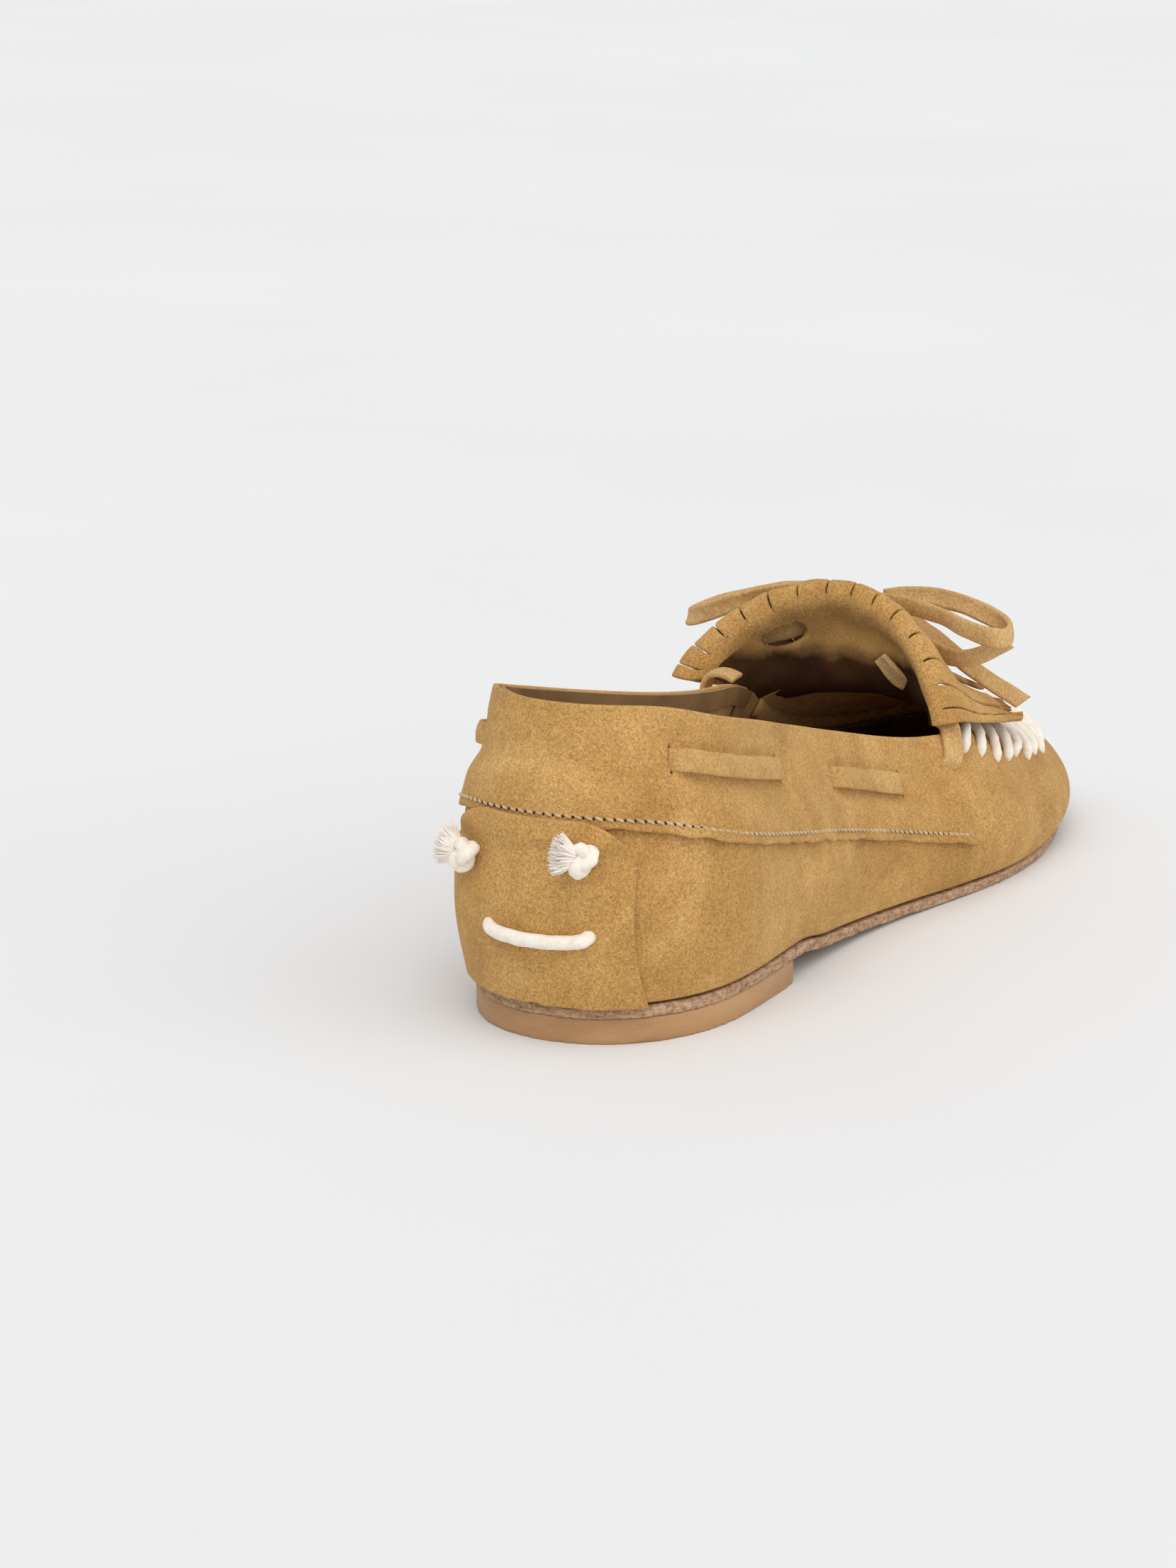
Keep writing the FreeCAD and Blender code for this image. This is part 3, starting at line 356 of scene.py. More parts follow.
def rippled(points, amount, size, seed):
    """The grid of points moved unevenly along its own normals."""
    return points + grid_normals(points) * (amount * ripple(points, size, seed))[..., None]


def ripple_along(place_along, size, seed):
    """Values like those of ripple, along one direction only, for a cut edge."""
    flat = 0.0 * place_along
    return ripple(np.stack([place_along, flat, flat], axis=-1), size, seed)


# ---- closed leather sheets from grids of points ----

EDGE_LINES = (0.0, 0.1, 0.28, 0.5, 0.75, 1.1, 1.6)  # distances from an edge that get a line
EDGE_ROUNDNESS = 2.4
SMALLEST_STEP = 0.06


def lines(length, spacing, dense=None):
    """Places from 0 to length, evenly spaced, with close lines at both ends and near dense places."""
    found = list(np.linspace(0.0, length, max(int(length / spacing), 2) + 1))
    for middle in [0.0, length] if dense is None else dense:
        for reach in EDGE_LINES:
            found += [middle - reach, middle + reach]
    found = np.array(sorted(v for v in found if 0.0 <= v <= length))
    wide = [found[0]]
    for value in found[1:]:
        if value - wide[-1] > SMALLEST_STEP:
            wide.append(value)
    wide[-1] = length
    return np.array(wide)


def grid_normals(points):
    """Normals of a grid of points, from its own neighbours."""
    return unit(np.cross(np.gradient(points, axis=0), np.gradient(points, axis=1)))


def border_distance(points, border):
    tree = KDTree(int(border.sum()))
    for i, co in enumerate(points[border]):
        tree.insert(co, i)
    tree.balance()
    flat = points.reshape(-1, 3)
    return np.array([tree.find(co)[2] for co in flat]).reshape(points.shape[:2])


def add_mesh(name, vertices, faces):
    """A new object from vertices in shoe millimetres."""
    mesh = bpy.data.meshes.new(name)
    mesh.from_pydata([tuple(v) for v in place(vertices)], [], [tuple(int(i) for i in f) for f in faces])
    mesh.validate()
    mesh.shade_smooth()
    mesh.update()
    return add_object(name, mesh)


def around(grid):
    """How many of the four faces round each grid point are in the grid of faces."""
    found = np.zeros((grid.shape[0] + 1, grid.shape[1] + 1), int)
    for i in (0, 1):
        for j in (0, 1):
            found[i:i + grid.shape[0], j:j + grid.shape[1]] += grid
    return found


def shell_parts(points, thickness, keep=None, joined=None):
    """Vertices and faces of a closed sheet round the grid of middle points, with round edges.

    joined names a column (0 or -1) that meets another sheet: it stays at full thickness.
    """
    if keep is None:
        keep = np.ones((points.shape[0] - 1, points.shape[1] - 1), bool)
    touching = around(keep)
    border = (touching > 0) & (touching < 4)
    if joined is not None:
        border[1:-1, joined] &= touching[1:-1, joined] < 2
    near = np.clip(border_distance(points, border) / (thickness / 2.0), 0.0, 1.0)
    half = thickness / 2.0 * (1.0 - (1.0 - near) ** EDGE_ROUNDNESS) ** (1.0 / EDGE_ROUNDNESS)
    normals = grid_normals(points)
    front = points + normals * half[..., None]
    back = points - normals * half[..., None]
    used = touching > 0
    front_index = np.cumsum(used).reshape(used.shape) - 1
    inner = used & ~border
    back_index = np.where(border, front_index, used.sum() + np.cumsum(inner).reshape(inner.shape) - 1)
    vertices = np.concatenate([front[used], back[inner]])
    i, j = np.nonzero(keep)

    def quads(index, order):
        corners = [index[i, j], index[i + 1, j], index[i + 1, j + 1], index[i, j + 1]]
        return np.stack([corners[k] for k in order], axis=1)

    faces = np.concatenate([quads(front_index, (3, 2, 1, 0)), quads(back_index, (0, 1, 2, 3))])
    return vertices, faces


def shell(name, points, thickness, keep=None, joined=None):
    return add_mesh(name, *shell_parts(points, thickness, keep, joined))


def upper_piece(name, points, keep=None):
    """A piece of the upper: suede that stays with the shoe."""
    dress(shell(name, points, SUEDE, keep), SUEDE_MATERIAL, "shoe", "suede", name)


def join_parts(parts):
    """One list of vertices and faces from several."""
    vertices = []
    faces = []
    count = 0
    for part_vertices, part_faces in parts:
        vertices.append(part_vertices)
        faces += [[int(i) + count for i in face] for face in part_faces]
        count += len(part_vertices)
    return np.concatenate(vertices), faces


# ---- materials ----

class Nodes:
    """A short way to write a material's nodes."""

    def __init__(self, name):
        self.material = bpy.data.materials.new(name)
        self.material.use_nodes = True
        self.tree = self.material.node_tree
        self.shader = self.tree.nodes["Principled BSDF"]
        self.place = self.add("ShaderNodeTexCoord").outputs["Object"]

    def add(self, kind, links=(), **values):
        node = self.tree.nodes.new(kind)
        for key, value in values.items():
            setattr(node, key, value)
        for socket, source in dict(links).items():
            self.link(source, node.inputs[socket])
        return node

    def link(self, source, socket):
        if isinstance(source, (int, float, tuple)):
            socket.default_value = source
        else:
            self.tree.links.new(source, socket)

    def noise(self, scale, detail=3.0, rough=0.55, stretch=None, distortion=0.0):
        source = self.place
        if stretch:
            source = self.add("ShaderNodeMapping", {"Vector": self.place, "Scale": stretch}).outputs[0]
        return self.add("ShaderNodeTexNoise", {"Vector": source, "Scale": scale, "Detail": detail,
                                               "Roughness": rough, "Distortion": distortion}).outputs["Fac"]

    def ramp(self, value, stops):
        node = self.add("ShaderNodeValToRGB", {"Fac": value})
        elements = node.color_ramp.elements
        while len(elements) < len(stops):
            elements.new(0.5)
        for element, (position, colour) in zip(elements, stops):
            element.position = position
            element.color = (*colour, 1.0)
        return node.outputs["Color"]

    def blend(self, amount, one, other, kind="MIX"):
        node = self.add("ShaderNodeMix", data_type="RGBA", blend_type=kind)
        self.link(amount, node.inputs[0])
        for socket, colour in ((node.inputs[6], one), (node.inputs[7], other)):
            self.link((*colour, 1.0) if isinstance(colour, tuple) else colour, socket)
        return node.outputs[2]

    def add_up(self, *terms):
        """Sum of value times weight pairs."""
        total = None
        for value, weight in terms:
            product = self.add("ShaderNodeMath", {0: value, 1: weight}, operation="MULTIPLY").outputs[0]
            if total is not None:
                product = self.add("ShaderNodeMath", {0: total, 1: product}, operation="ADD").outputs[0]
            total = product
        return total

    def bump(self, height, strength, depth):
        node = self.add("ShaderNodeBump", {"Height": height, "Strength": strength, "Distance": depth})
        self.tree.links.new(node.outputs[0], self.shader.inputs["Normal"])

    def finish(self, colour, **constants):
        self.link(colour, self.shader.inputs["Base Color"])
        for name, value in constants.items():
            self.shader.inputs[name.replace("_", " ")].default_value = value
        return self.material


def suede(name, dark, middle, light, grain):
    """Napped leather: brushed patches, a fine sparkling grain and a soft sheen."""
    n = Nodes(name)
    brushed = n.noise(34.0, 5.0, 0.62, distortion=0.7)
    streaks = n.noise(130.0, 3.0, 0.6, stretch=(1.0, 1.0, 0.7))
    tone = n.ramp(n.add_up((brushed, 0.7), (streaks, 0.3)),
                  [(0.33, dark), (0.5, middle), (0.67, light)])
    fine = n.noise(3200.0, 2.0, 0.75)
    coarse = n.noise(1400.0, 3.0, 0.7)
    speckle = n.ramp(n.add_up((fine, 0.55), (coarse, 0.45)),
                     [(0.36, (0.42, 0.37, 0.28)), (0.5, (0.98, 0.98, 0.97)), (0.64, (1.62, 1.6, 1.5))])
    colour = n.blend(grain, tone, speckle, "MULTIPLY")
    n.bump(n.add_up((fine, 0.6), (coarse, 1.0), (streaks, 0.5)), 0.6, 0.00045)
    return n.finish(colour, Roughness=0.93, Specular_IOR_Level=0.12, Sheen_Weight=0.22,
                    Sheen_Roughness=0.45, Sheen_Tint=(1.0, 0.8, 0.5, 1.0))


def lining_and_painted_shade_suede(name, painted_shade_below, suede_above):
    """The tongue near its root: suede above, brown lining leather towards the toe box, darkened there by
    painted shade of the deep toe box.
    """
    n = Nodes(name)
    rise = n.add("ShaderNodeSeparateXYZ", {"Vector": n.place}).outputs["Z"]
    height = n.add_up((rise, 1.0), (n.noise(120.0, 3.0, 0.6), 0.006))
    fine = n.noise(1900.0, 2.0, 0.7)
    upper = n.ramp(n.add_up((n.noise(34.0, 4.0), 0.5), (fine, 0.5)),
                   [(0.36, (0.36, 0.19, 0.06)), (0.64, (0.6, 0.35, 0.12))])
    # Below: the lining brown made far darker than the lining leather itself, as painted shade of the toe
    # box.
    lower = n.ramp(n.noise(60.0, 4.0), [(0.36, (0.05, 0.022, 0.009)), (0.64, (0.12, 0.055, 0.024))])
    amount = n.add("ShaderNodeMapRange", {"Value": height, "From Min": painted_shade_below, "From Max": suede_above})
    n.bump(fine, 0.4, 0.0003)
    return n.finish(n.blend(amount.outputs[0], lower, upper), Roughness=0.9, Specular_IOR_Level=0.12)


def mottled(name, one, other, shares, stops, heights, bump, **constants):
    """A material whose colour and bump each mix two noises, by shares and by heights."""
    n = Nodes(name)
    noises = n.noise(*one), n.noise(*other)
    n.bump(n.add_up(*zip(noises, heights)), *bump)
    return n.finish(n.ramp(n.add_up(*zip(noises, shares)), stops), **constants)


def smooth_leather(name, dark, light):
    """Plain lining leather: stains and faint pores."""
    return mottled(name, (45.0, 4.0, 0.6, None, 0.4), (1400.0, 2.0, 0.6), (0.85, 0.15),
                   [(0.36, dark), (0.64, light)], (1.0, 0.5), (0.25, 0.0003),
                   Roughness=0.55, Specular_IOR_Level=0.35)


def cotton(name, dark, light):
    """Soft undyed cotton: fine fibres and soft lumps."""
    return mottled(name, (1700.0, 3.0, 0.7), (420.0, 2.0, 0.5), (0.55, 0.45),
                   [(0.35, dark), (0.6, light)], (0.7, 0.6), (0.5, 0.0004),
                   Roughness=0.9, Specular_IOR_Level=0.15, Sheen_Weight=0.25, Sheen_Roughness=0.5)


def raw_edge(name):
    """The cut edge of sole leather: pressed layers and loose reddish fibres."""
    stops = [(0.34, (0.2, 0.1, 0.052)), (0.48, (0.43, 0.265, 0.155)), (0.62, (0.66, 0.46, 0.3))]
    return mottled(name, (260.0, 4.0, 0.65, (1.0, 1.0, 5.0)), (900.0, 3.0, 0.75), (0.5, 0.5), stops,
                   (0.8, 1.0), (0.8, 0.0005), Roughness=0.88, Specular_IOR_Level=0.18)


def heel_leather(name):
    """Stacked, waxed and burnished heel leather: clouds and scuffs."""
    stops = [(0.34, (0.345, 0.18, 0.075)), (0.52, (0.45, 0.245, 0.105)), (0.68, (0.52, 0.3, 0.135))]
    return mottled(name, (30.0, 3.0, 0.5, (1.0, 1.0, 3.0)), (700.0, 2.0, 0.5, (0.3, 0.3, 2.5)), (0.8, 0.2),
                   stops, (0.8, 0.6), (0.18, 0.0002), Roughness=0.42, Specular_IOR_Level=0.4)


def plain_grain(name, dark, light, size, rough=0.8, metal=0.0, depth=0.3):
    """Hidden board, cork, foam and steel: a mottled colour with a grain of the given size."""
    n = Nodes(name)
    grain = n.noise(1.0 / size, 4.0, 0.65)
    colour = n.ramp(grain, [(0.38, dark), (0.62, light)])
    n.bump(grain, depth, 0.0003)
    return n.finish(colour, Roughness=rough, Metallic=metal)


SUEDE_MATERIAL = suede("suede_nap", (0.42, 0.222, 0.066), (0.54, 0.3, 0.098), (0.66, 0.395, 0.145),
                       grain=0.72)
ROOT_LINING_AND_SHADE_MATERIAL = lining_and_painted_shade_suede("suede_tongue_root_lining_and_painted_shade", painted_shade_below=0.0575, suede_above=0.0625)
LACE_MATERIAL = suede("suede_lace_nap", (0.48, 0.28, 0.112), (0.61, 0.38, 0.16), (0.73, 0.49, 0.225),
                      grain=0.55)
WINDOW_MATERIAL = suede("suede_window_nap", (0.43, 0.236, 0.08), (0.56, 0.325, 0.12), (0.68, 0.425, 0.17),
                        grain=0.6)
COTTON_MATERIAL = cotton("cotton_cord_fibre", (0.84, 0.745, 0.6), (0.97, 0.915, 0.815))
TUFT_MATERIAL = cotton("cotton_frayed", (0.86, 0.74, 0.64), (0.98, 0.92, 0.85))
LINING_MATERIAL = smooth_leather("lining_calf", (0.1, 0.045, 0.02), (0.26, 0.13, 0.062))
FACING_MATERIAL = smooth_leather("topline_facing_calf", (0.26, 0.145, 0.06), (0.42, 0.24, 0.1))
SOCK_MATERIAL = smooth_leather("sock_calf", (0.16, 0.085, 0.042), (0.3, 0.17, 0.09))
SOLE_MATERIAL = raw_edge("sole_leather_raw")
HEEL_MATERIAL = heel_leather("heel_leather_waxed")
THREAD_MATERIAL = cotton("machine_thread", (0.46, 0.3, 0.15), (0.72, 0.53, 0.32))
# Near-black: painted shade inside the needle holes.
HOLE_SHADE_MATERIAL = plain_grain("needle_hole_shade", (0.012, 0.008, 0.005), (0.03, 0.018, 0.01), size=0.001)
BOARD_MATERIAL = plain_grain("insole_fibre_board", (0.32, 0.24, 0.16), (0.45, 0.36, 0.26), size=0.0016)
CORK_MATERIAL = plain_grain("cork_crumb", (0.2, 0.11, 0.05), (0.55, 0.37, 0.2), size=0.0012)
STEEL_MATERIAL = plain_grain("spring_steel", (0.35, 0.36, 0.38), (0.5, 0.51, 0.53), size=0.0008,
                             rough=0.35, metal=1.0, depth=0.1)
FOAM_MATERIAL = plain_grain("latex_foam", (0.62, 0.55, 0.4), (0.78, 0.72, 0.58), size=0.0006)
STIFFENER_MATERIAL = plain_grain("stiffener_board", (0.4, 0.35, 0.28), (0.55, 0.5, 0.42), size=0.001)


def dress(piece, material, body, slot, *nodes):
    """Material, body and the CAD nodes that the piece stands for. The slot argument is not used."""
    piece.data.materials.clear()
    piece.data.materials.append(material)
    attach(piece, body)
    if nodes:
        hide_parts(*nodes)


# ---- ribbons: the suede lace lying free ----

RIBBON_STEP = 0.9


def spline_points(route, name):
    """Points read along a NURBS spline whose control points are the route."""
    curve = bpy.data.curves.new(name, "CURVE")
    curve.dimensions = "3D"
    spline = curve.splines.new("NURBS")
    spline.points.add(len(route) - 1)
    for point, co in zip(spline.points, place(route)):
        point.co = (*co, 1.0)
    spline.order_u = 3
    spline.use_endpoint_u = True
    spline.resolution_u = 10
    holder = add_object(name, curve)
    bpy.context.view_layer.update()
    mesh = bpy.data.meshes.new_from_object(holder)
    found = np.array([tuple(v.co) for v in mesh.vertices])
    bpy.data.objects.remove(holder)
    bpy.data.meshes.remove(mesh)
    bpy.data.curves.remove(curve)
    return found


def read_line(points, places):
    """Points of a line at the given distances from its start."""
    steps = steps_along(points)
    return np.stack([np.interp(places, steps, points[:, k]) for k in range(3)], axis=1)


def to_shoe(points):
    """Metres in the part's frame back to shoe millimetres."""
    p = np.asarray(points) / MM
    return np.stack([p[..., 0] + CENTRE_X, CENTRE_S - p[..., 1], p[..., 2]], axis=-1)


def ribbon_grid(line, upright, width, slant=0.0, cup=0.0):
    """Grid of middle points of a flat strip along line, its width turned towards upright."""
    along = unit(np.gradient(line, axis=0))
    keys = np.linspace(0.0, 1.0, len(upright))
    t = np.linspace(0.0, 1.0, len(line))
    side = np.stack([np.interp(t, keys, np.array(upright, float)[:, k]) for k in range(3)], axis=1)
    side = unit(side - along * np.sum(side * along, axis=1, keepdims=True))
    face = np.cross(along, side)
    w = lines(width, 0.7) - width / 2.0
    grid = line[:, None, :] + side[:, None, :] * w[None, :, None]
    grid = grid + face[:, None, :] * (cup * (2.0 * w[None, :, None] / width) ** 2)
    end = smoothstep((t - 0.8) / 0.2)[:, None, None]
    return grid + along[:, None, :] * w[None, :, None] * slant * end


def ribbon_line(points):
    """Even places along a line with extra ones close to its two ends, for the round ends."""
    length = steps_along(points)[-1]
    even = read_line(points, np.linspace(0.0, length, max(int(length / RIBBON_STEP), 4) + 1))
    return read_line(even, lines(length, RIBBON_STEP))


def free_ribbon(name, route, upright, slant=0.0, cup=0.5):
    path = spline_points(route, name + "_line")
    line = ribbon_line(to_shoe(path))
    grid = ribbon_grid(line, upright, LACE_WIDTH - 0.4, slant, cup)
    piece = shell(name, rippled(grid, 0.22, 9.0, 5), LACE_THICKNESS)
    dress(piece, LACE_MATERIAL, "tongue", "suede_lace", name)


# the way the width of each ribbon points, at even steps along it
LOOP_LATERAL_UPRIGHT = [(0.1, 0.3, 1.0), (0.0, -0.25, 1.0), (0.1, -0.3, 1.0), (0.25, -0.1, 1.0),
                        (0.2, 0.2, 1.0), (0.1, 0.45, 1.0), (0.0, 0.5, 1.0), (0.0, 0.2, 1.0)]
LOOP_MEDIAL_UPRIGHT = [(0.0, 0.3, 1.0), (0.05, -0.2, 1.0), (0.0, -0.25, 1.0), (-0.2, 0.0, 1.0),
                       (-0.2, 0.2, 1.0), (0.0, 0.5, 1.0), (0.0, 0.5, 1.0), (0.0, 0.2, 1.0)]
TAIL_LATERAL_UPRIGHT = [(0.3, -0.2, 1.0), (0.6, -0.1, 1.0), (0.7, -0.2, 0.8), (0.75, -0.3, 0.7)]
TAIL_FRONT_UPRIGHT = [(0.0, 0.1, 1.0), (0.1, 0.0, 1.0), (0.0, -0.3, 1.0), (-0.1, -0.5, 1.0)]

free_ribbon("bow_loop_lateral", BOW_LOOP_LATERAL, LOOP_LATERAL_UPRIGHT)
free_ribbon("bow_loop_medial", BOW_LOOP_MEDIAL, LOOP_MEDIAL_UPRIGHT)
free_ribbon("lace_tail_lateral", LACE_TAIL_LATERAL, TAIL_LATERAL_UPRIGHT, slant=0.5, cup=0.3)
free_ribbon("lace_tail_front", LACE_TAIL_FRONT, TAIL_FRONT_UPRIGHT, slant=-0.6, cup=0.3)


# ---- the upper ----

WALL_ROWS = 40.0  # a usual height of the wall, that its rows are spaced for
VAMP_BASE = 0.035
VAMP_TOP = 0.985
VAMP_RISE_START = 144.5
VAMP_RISE = 3.5
VAMP_TURNED_IN = ((5.0, 0.9), (3.0, 1.0), (1.9, 1.1), (1.2, 1.25), (0.6, 1.5))  # way in, height
SEAM_FIRST = u_at(STITCH_START, 1)
SEAM_LAST = 1.0 + u_at(STITCH_START, -1)


def stitch_phase(u):
    """Counts whip stitches along the seam: whole numbers lie between two stitches."""
    return (np.mod(u, 1.0) - SEAM_FIRST) / (SEAM_LAST - SEAM_FIRST) * STITCH_COUNT


def seam_pleats(u, v):
    """How far the gathered vamp edge stands out between stitches."""
    s = outline(u)[1]
    strength = 0.12 + 0.5 * smoothstep((s - 195.0) / 35.0)
    on_seam = smoothstep((s - APRON_REAR) / 6.0)
    return strength * on_seam * np.cos(2.0 * math.pi * stitch_phase(u)) * smoothstep((v - 0.62) / 0.38)


def vamp():
    columns = lines(PERIMETER, 0.9)
    u = BACK_U + columns / PERIMETER
    s = outline(u)[1]
    low_top = wall_v(u, collar_lower(s) + COLLAR_OVERLAP)
    top = mix(np.minimum(low_top, VAMP_TOP), VAMP_TOP, smoothstep((s - VAMP_RISE_START) / VAMP_RISE))
    fractions = lines(WALL_ROWS, 0.9, [WALL_ROWS]) / WALL_ROWS
    v = mix(VAMP_BASE, top[:, None], fractions[None, :])
    points = wall(u[:, None], v, -SUEDE / 2.0 + seam_pleats(u[:, None], v))
    drag = ripple(points * np.array([1.0, 1.0, 0.6]), 34.0, 3)
    points = points + grid_normals(points) * (0.3 * drag * smoothstep(v / 0.3))[..., None]
    nx, ns = outline_normal(u)
    x, s_low = wall_plan(u, np.zeros_like(u))
    turned = [np.stack([x - nx * inward, s_low - ns * inward, feather(s) + rise], axis=-1)
              for inward, rise in VAMP_TURNED_IN]
    grid = np.concatenate([np.stack(turned, axis=1), points], axis=1)
    upper_piece("vamp", grid)


FRAY = 0.22


def collar_map(a, b):
    """(u, v) on the wall for the collar pattern: a from the lateral front to the medial front."""
    front = mix(COLLAR_FRONT_LOW, COLLAR_FRONT_TOP, b)
    u = mix(u_at(front, -1), u_at(front, 1), a)
    s = outline(u)[1]
    fray = FRAY * ripple_along(u * PERIMETER, 7.0, 11)
    return u, mix(wall_v(u, collar_lower(s) + fray), 1.0, b)


COVER_FROM = 140.5  # ahead of here the collar lies on the vamp over its whole height
COVER_BLEND = 4.5


def collar_cover(u, v):
    """1 where the collar lies over the vamp, 0 where it stands alone."""
    s = wall_plan(u, v)[1]
    above = v - wall_v(u, collar_lower(s) + COLLAR_OVERLAP)
    return np.maximum(smoothstep((0.14 - above) / 0.11), smoothstep((s - COVER_FROM) / COVER_BLEND))


def lace_v(u):
    """The height fraction of the middle of the lace round the collar."""
    return 1.0 - LACE_DROP / wall_height(u)


SLIT_HALF = 0.6
SLIT_TALL = 3.2


def cut_hole(keep, x, y, half, tall):
    """Drop the faces inside an oval hole; gives the factor that brings its rim onto the oval."""
    r = np.hypot(x / half, y / tall)
    hole = (r[:-1, :-1] + r[1:, :-1] + r[:-1, 1:] + r[1:, 1:]) / 4.0 < 1.0
    keep &= ~hole
    near = around(hole)
    rim = (near > 0) & (near < 4)
    return np.where(rim, 1.0 / np.maximum(r, 0.3), 1.0)


def collar():
    length = 2.0 * COLLAR_FRONT_LOW + 24.0
    windows = [(s, 0.0) for window in LACE_WINDOWS for s in window]
    slots = [(side, s, lift) for side in (-1, 1) for s, lift in windows + [LACE_EXITS[side]]]
    ends = u_at(COLLAR_FRONT_TOP, -1), u_at(COLLAR_FRONT_TOP, 1)
    middles = [(u_at(s, side) - ends[0]) / (ends[1] - ends[0]) * length for side, s, _ in slots]
    a = lines(length, 0.8, [0.0, length] + middles) / length
    b = lines(30.0, 0.7) / 30.0
    a_grid, b_grid = np.meshgrid(a, b, indexing="ij")
    u, v = collar_map(a_grid, b_grid)
    keep = np.ones((len(a) - 1, len(b) - 1), bool)
    for side, station, lift in slots:
        x = (u - u_at(station, side)) * PERIMETER
        y = (v - lace_v(u)) * wall_height(u) - lift
        factor = cut_hole(keep, x, y, SLIT_HALF, SLIT_TALL)
        u = u + (factor - 1.0) * x / PERIMETER
        v = v + (factor - 1.0) * y / wall_height(u)
    offset = -SUEDE / 2.0 + (SUEDE + LAYER_GAP) * collar_cover(u, v)
    points = wall(u, v, offset)
    soft = 0.22 * ripple(points, 26.0, 8) - 0.4 * window_dent(u, v)
    points = points + grid_normals(points) * soft[..., None]
    upper_piece("collar", points, keep)


def window_dent(u, v):
    """How far the collar is pressed in along the lace, 1 just beside its edges."""
    s = outline(u)[1]
    y = np.abs(v - lace_v(u)) * wall_height(u)
    dent = np.exp(-((y - LACE_WIDTH / 2.0 - 0.6) / 1.6) ** 2)
    shown = sum(smoothstep((s - first + 3.0) / 6.0) * smoothstep((last + 3.0 - s) / 6.0)
                for first, last in LACE_WINDOWS)
    return dent * shown


def collar_lace():
    """The lace where it shows on the collar: out through one slit and in through the next."""
    parts = []
    reach_in = 5.0
    for first, last in LACE_WINDOWS:
        for side in (-1, 1):
            s = lines(last - first + 2.0 * reach_in, 0.8) + first - reach_in
            u = u_at(s, side)
            w = lines(LACE_WIDTH, 0.7) - LACE_WIDTH / 2.0
            edge = np.minimum(s - first, last - s)
            offset = mix(-SUEDE - 1.3, 0.62, smoothstep((edge + 1.5) / 4.0))
            crown = 0.6 * (1.0 - (2.0 * w / LACE_WIDTH) ** 2) * smoothstep(edge / 5.0)[:, None]
            v = lace_v(u)[:, None] + w[None, :] / wall_height(u)[:, None]
            points = wall(u[:, None], v, offset[:, None] + crown)
            parts.append(shell_parts(rippled(points, 0.13, 8.0, 4), LACE_THICKNESS))
    piece = add_mesh("collar_lace", *join_parts(parts))
    dress(piece, WINDOW_MATERIAL, "shoe", "suede_lace", "collar_lace")


PATCH_ROWS = 45.0


def heel_patch():
    """The patch over the back seam, with round top corners and a slightly frayed lower edge."""
    p = lines(2.0 * PATCH_HALF_BASE, 0.7) / PATCH_HALF_BASE - 1.0
    q = lines(PATCH_ROWS, 0.7) / PATCH_ROWS
    corner_start = 1.0 - PATCH_CORNER / PATCH_HALF_TOP
    into = np.clip((np.abs(p) - corner_start) / (1.0 - corner_start), 0.0, 1.0)
    top = PATCH_TOP - PATCH_CORNER * (1.0 - np.sqrt(np.maximum(1.0 - into ** 2.3, 0.0)))
    base = SEAT_HEIGHT + 0.5 + FRAY * ripple_along(p * 24.0, 5.0, 12)
    z = mix(base[:, None], top[:, None], q[None, :])
    half = mix(PATCH_HALF_BASE, PATCH_HALF_TOP, smoothstep((z - SEAT_HEIGHT) / (PATCH_TOP - SEAT_HEIGHT)))
    x = BACK_SEAM_SHIFT + p[:, None] * half
    sample = np.linspace(BACK_U - 45.0 / PERIMETER, BACK_U + 45.0 / PERIMETER, 400)
    u = np.zeros_like(z)
    for row in range(z.shape[1]):
        v_row = wall_v(sample, z[:, row].mean())
        u[:, row] = np.interp(x[:, row], wall_plan(sample, v_row)[0], sample)
    v = wall_v(u, z)
    over_collar = (SUEDE + 0.4) * smoothstep((z - PATCH_LAP_START) / PATCH_LAP_RISE)
    uneven = 0.25 * ripple(np.stack([x, z, 0 * x], axis=-1), 22.0, 2)
    points = wall(u, v, LAYER_GAP + SUEDE / 2.0 + over_collar + uneven)
    upper_piece("heel_patch", points)


APRON_FAN = 226.0  # the station that the lines from the toe run to
APRON_LAP = 1.1


def apron():
    """The plug on the forefoot, its edge turned down inside the vamp and drawn in by the stitches."""
    rear = APRON_REAR - 1.0
    u = mix(u_at(rear, 1), 1.0 + u_at(rear, -1), np.linspace(0.0, 1.0, 241))
    x_edge, s_edge = wall_plan(u, np.ones_like(u))
    nx, ns = outline_normal(u)
    x_edge = x_edge - nx * 1.0
    s_edge = s_edge - ns * 1.0
    spine_s = np.clip(s_edge, APRON_REAR + 3.0, APRON_FAN)
    middle_s = mix(APRON_REAR + APRON_REAR_SAG, APRON_FAN, smoothstep((spine_s - APRON_REAR) / 70.0))
    # past 1 the two sides lap at the middle, so that no gap shows there
    reach = np.concatenate([lines(12.0, 0.8)[:-1] / 40.0, np.linspace(0.3, APRON_LAP, 24)])
    x = x_edge[:, None] + (APRON_CENTRE_X - x_edge)[:, None] * reach[None, :]
    s = s_edge[:, None] + (middle_s - s_edge)[:, None] * reach[None, :]
    between = (0.5 + 0.5 * np.cos(2.0 * math.pi * stitch_phase(u)))[:, None]
    puff = 0.5 * np.exp(-reach * 9.0)[None, :] * between * smoothstep((s_edge - 190.0) / 30.0)[:, None]
    z = apron_height(x, s) - SUEDE / 2.0 + puff
    top = np.stack([x, s, z], axis=-1)
    top[..., 2] += 0.3 * ripple(top, 30.0, 6)
    turned = [wall(u, v, -1.55 * SUEDE) for v in (0.88, 0.92, 0.96)]
    upper_piece("apron", np.concatenate([np.stack(turned, axis=1), top], axis=1))


vamp()
collar()
collar_lace()
heel_patch()
apron()


# ---- round cords ----

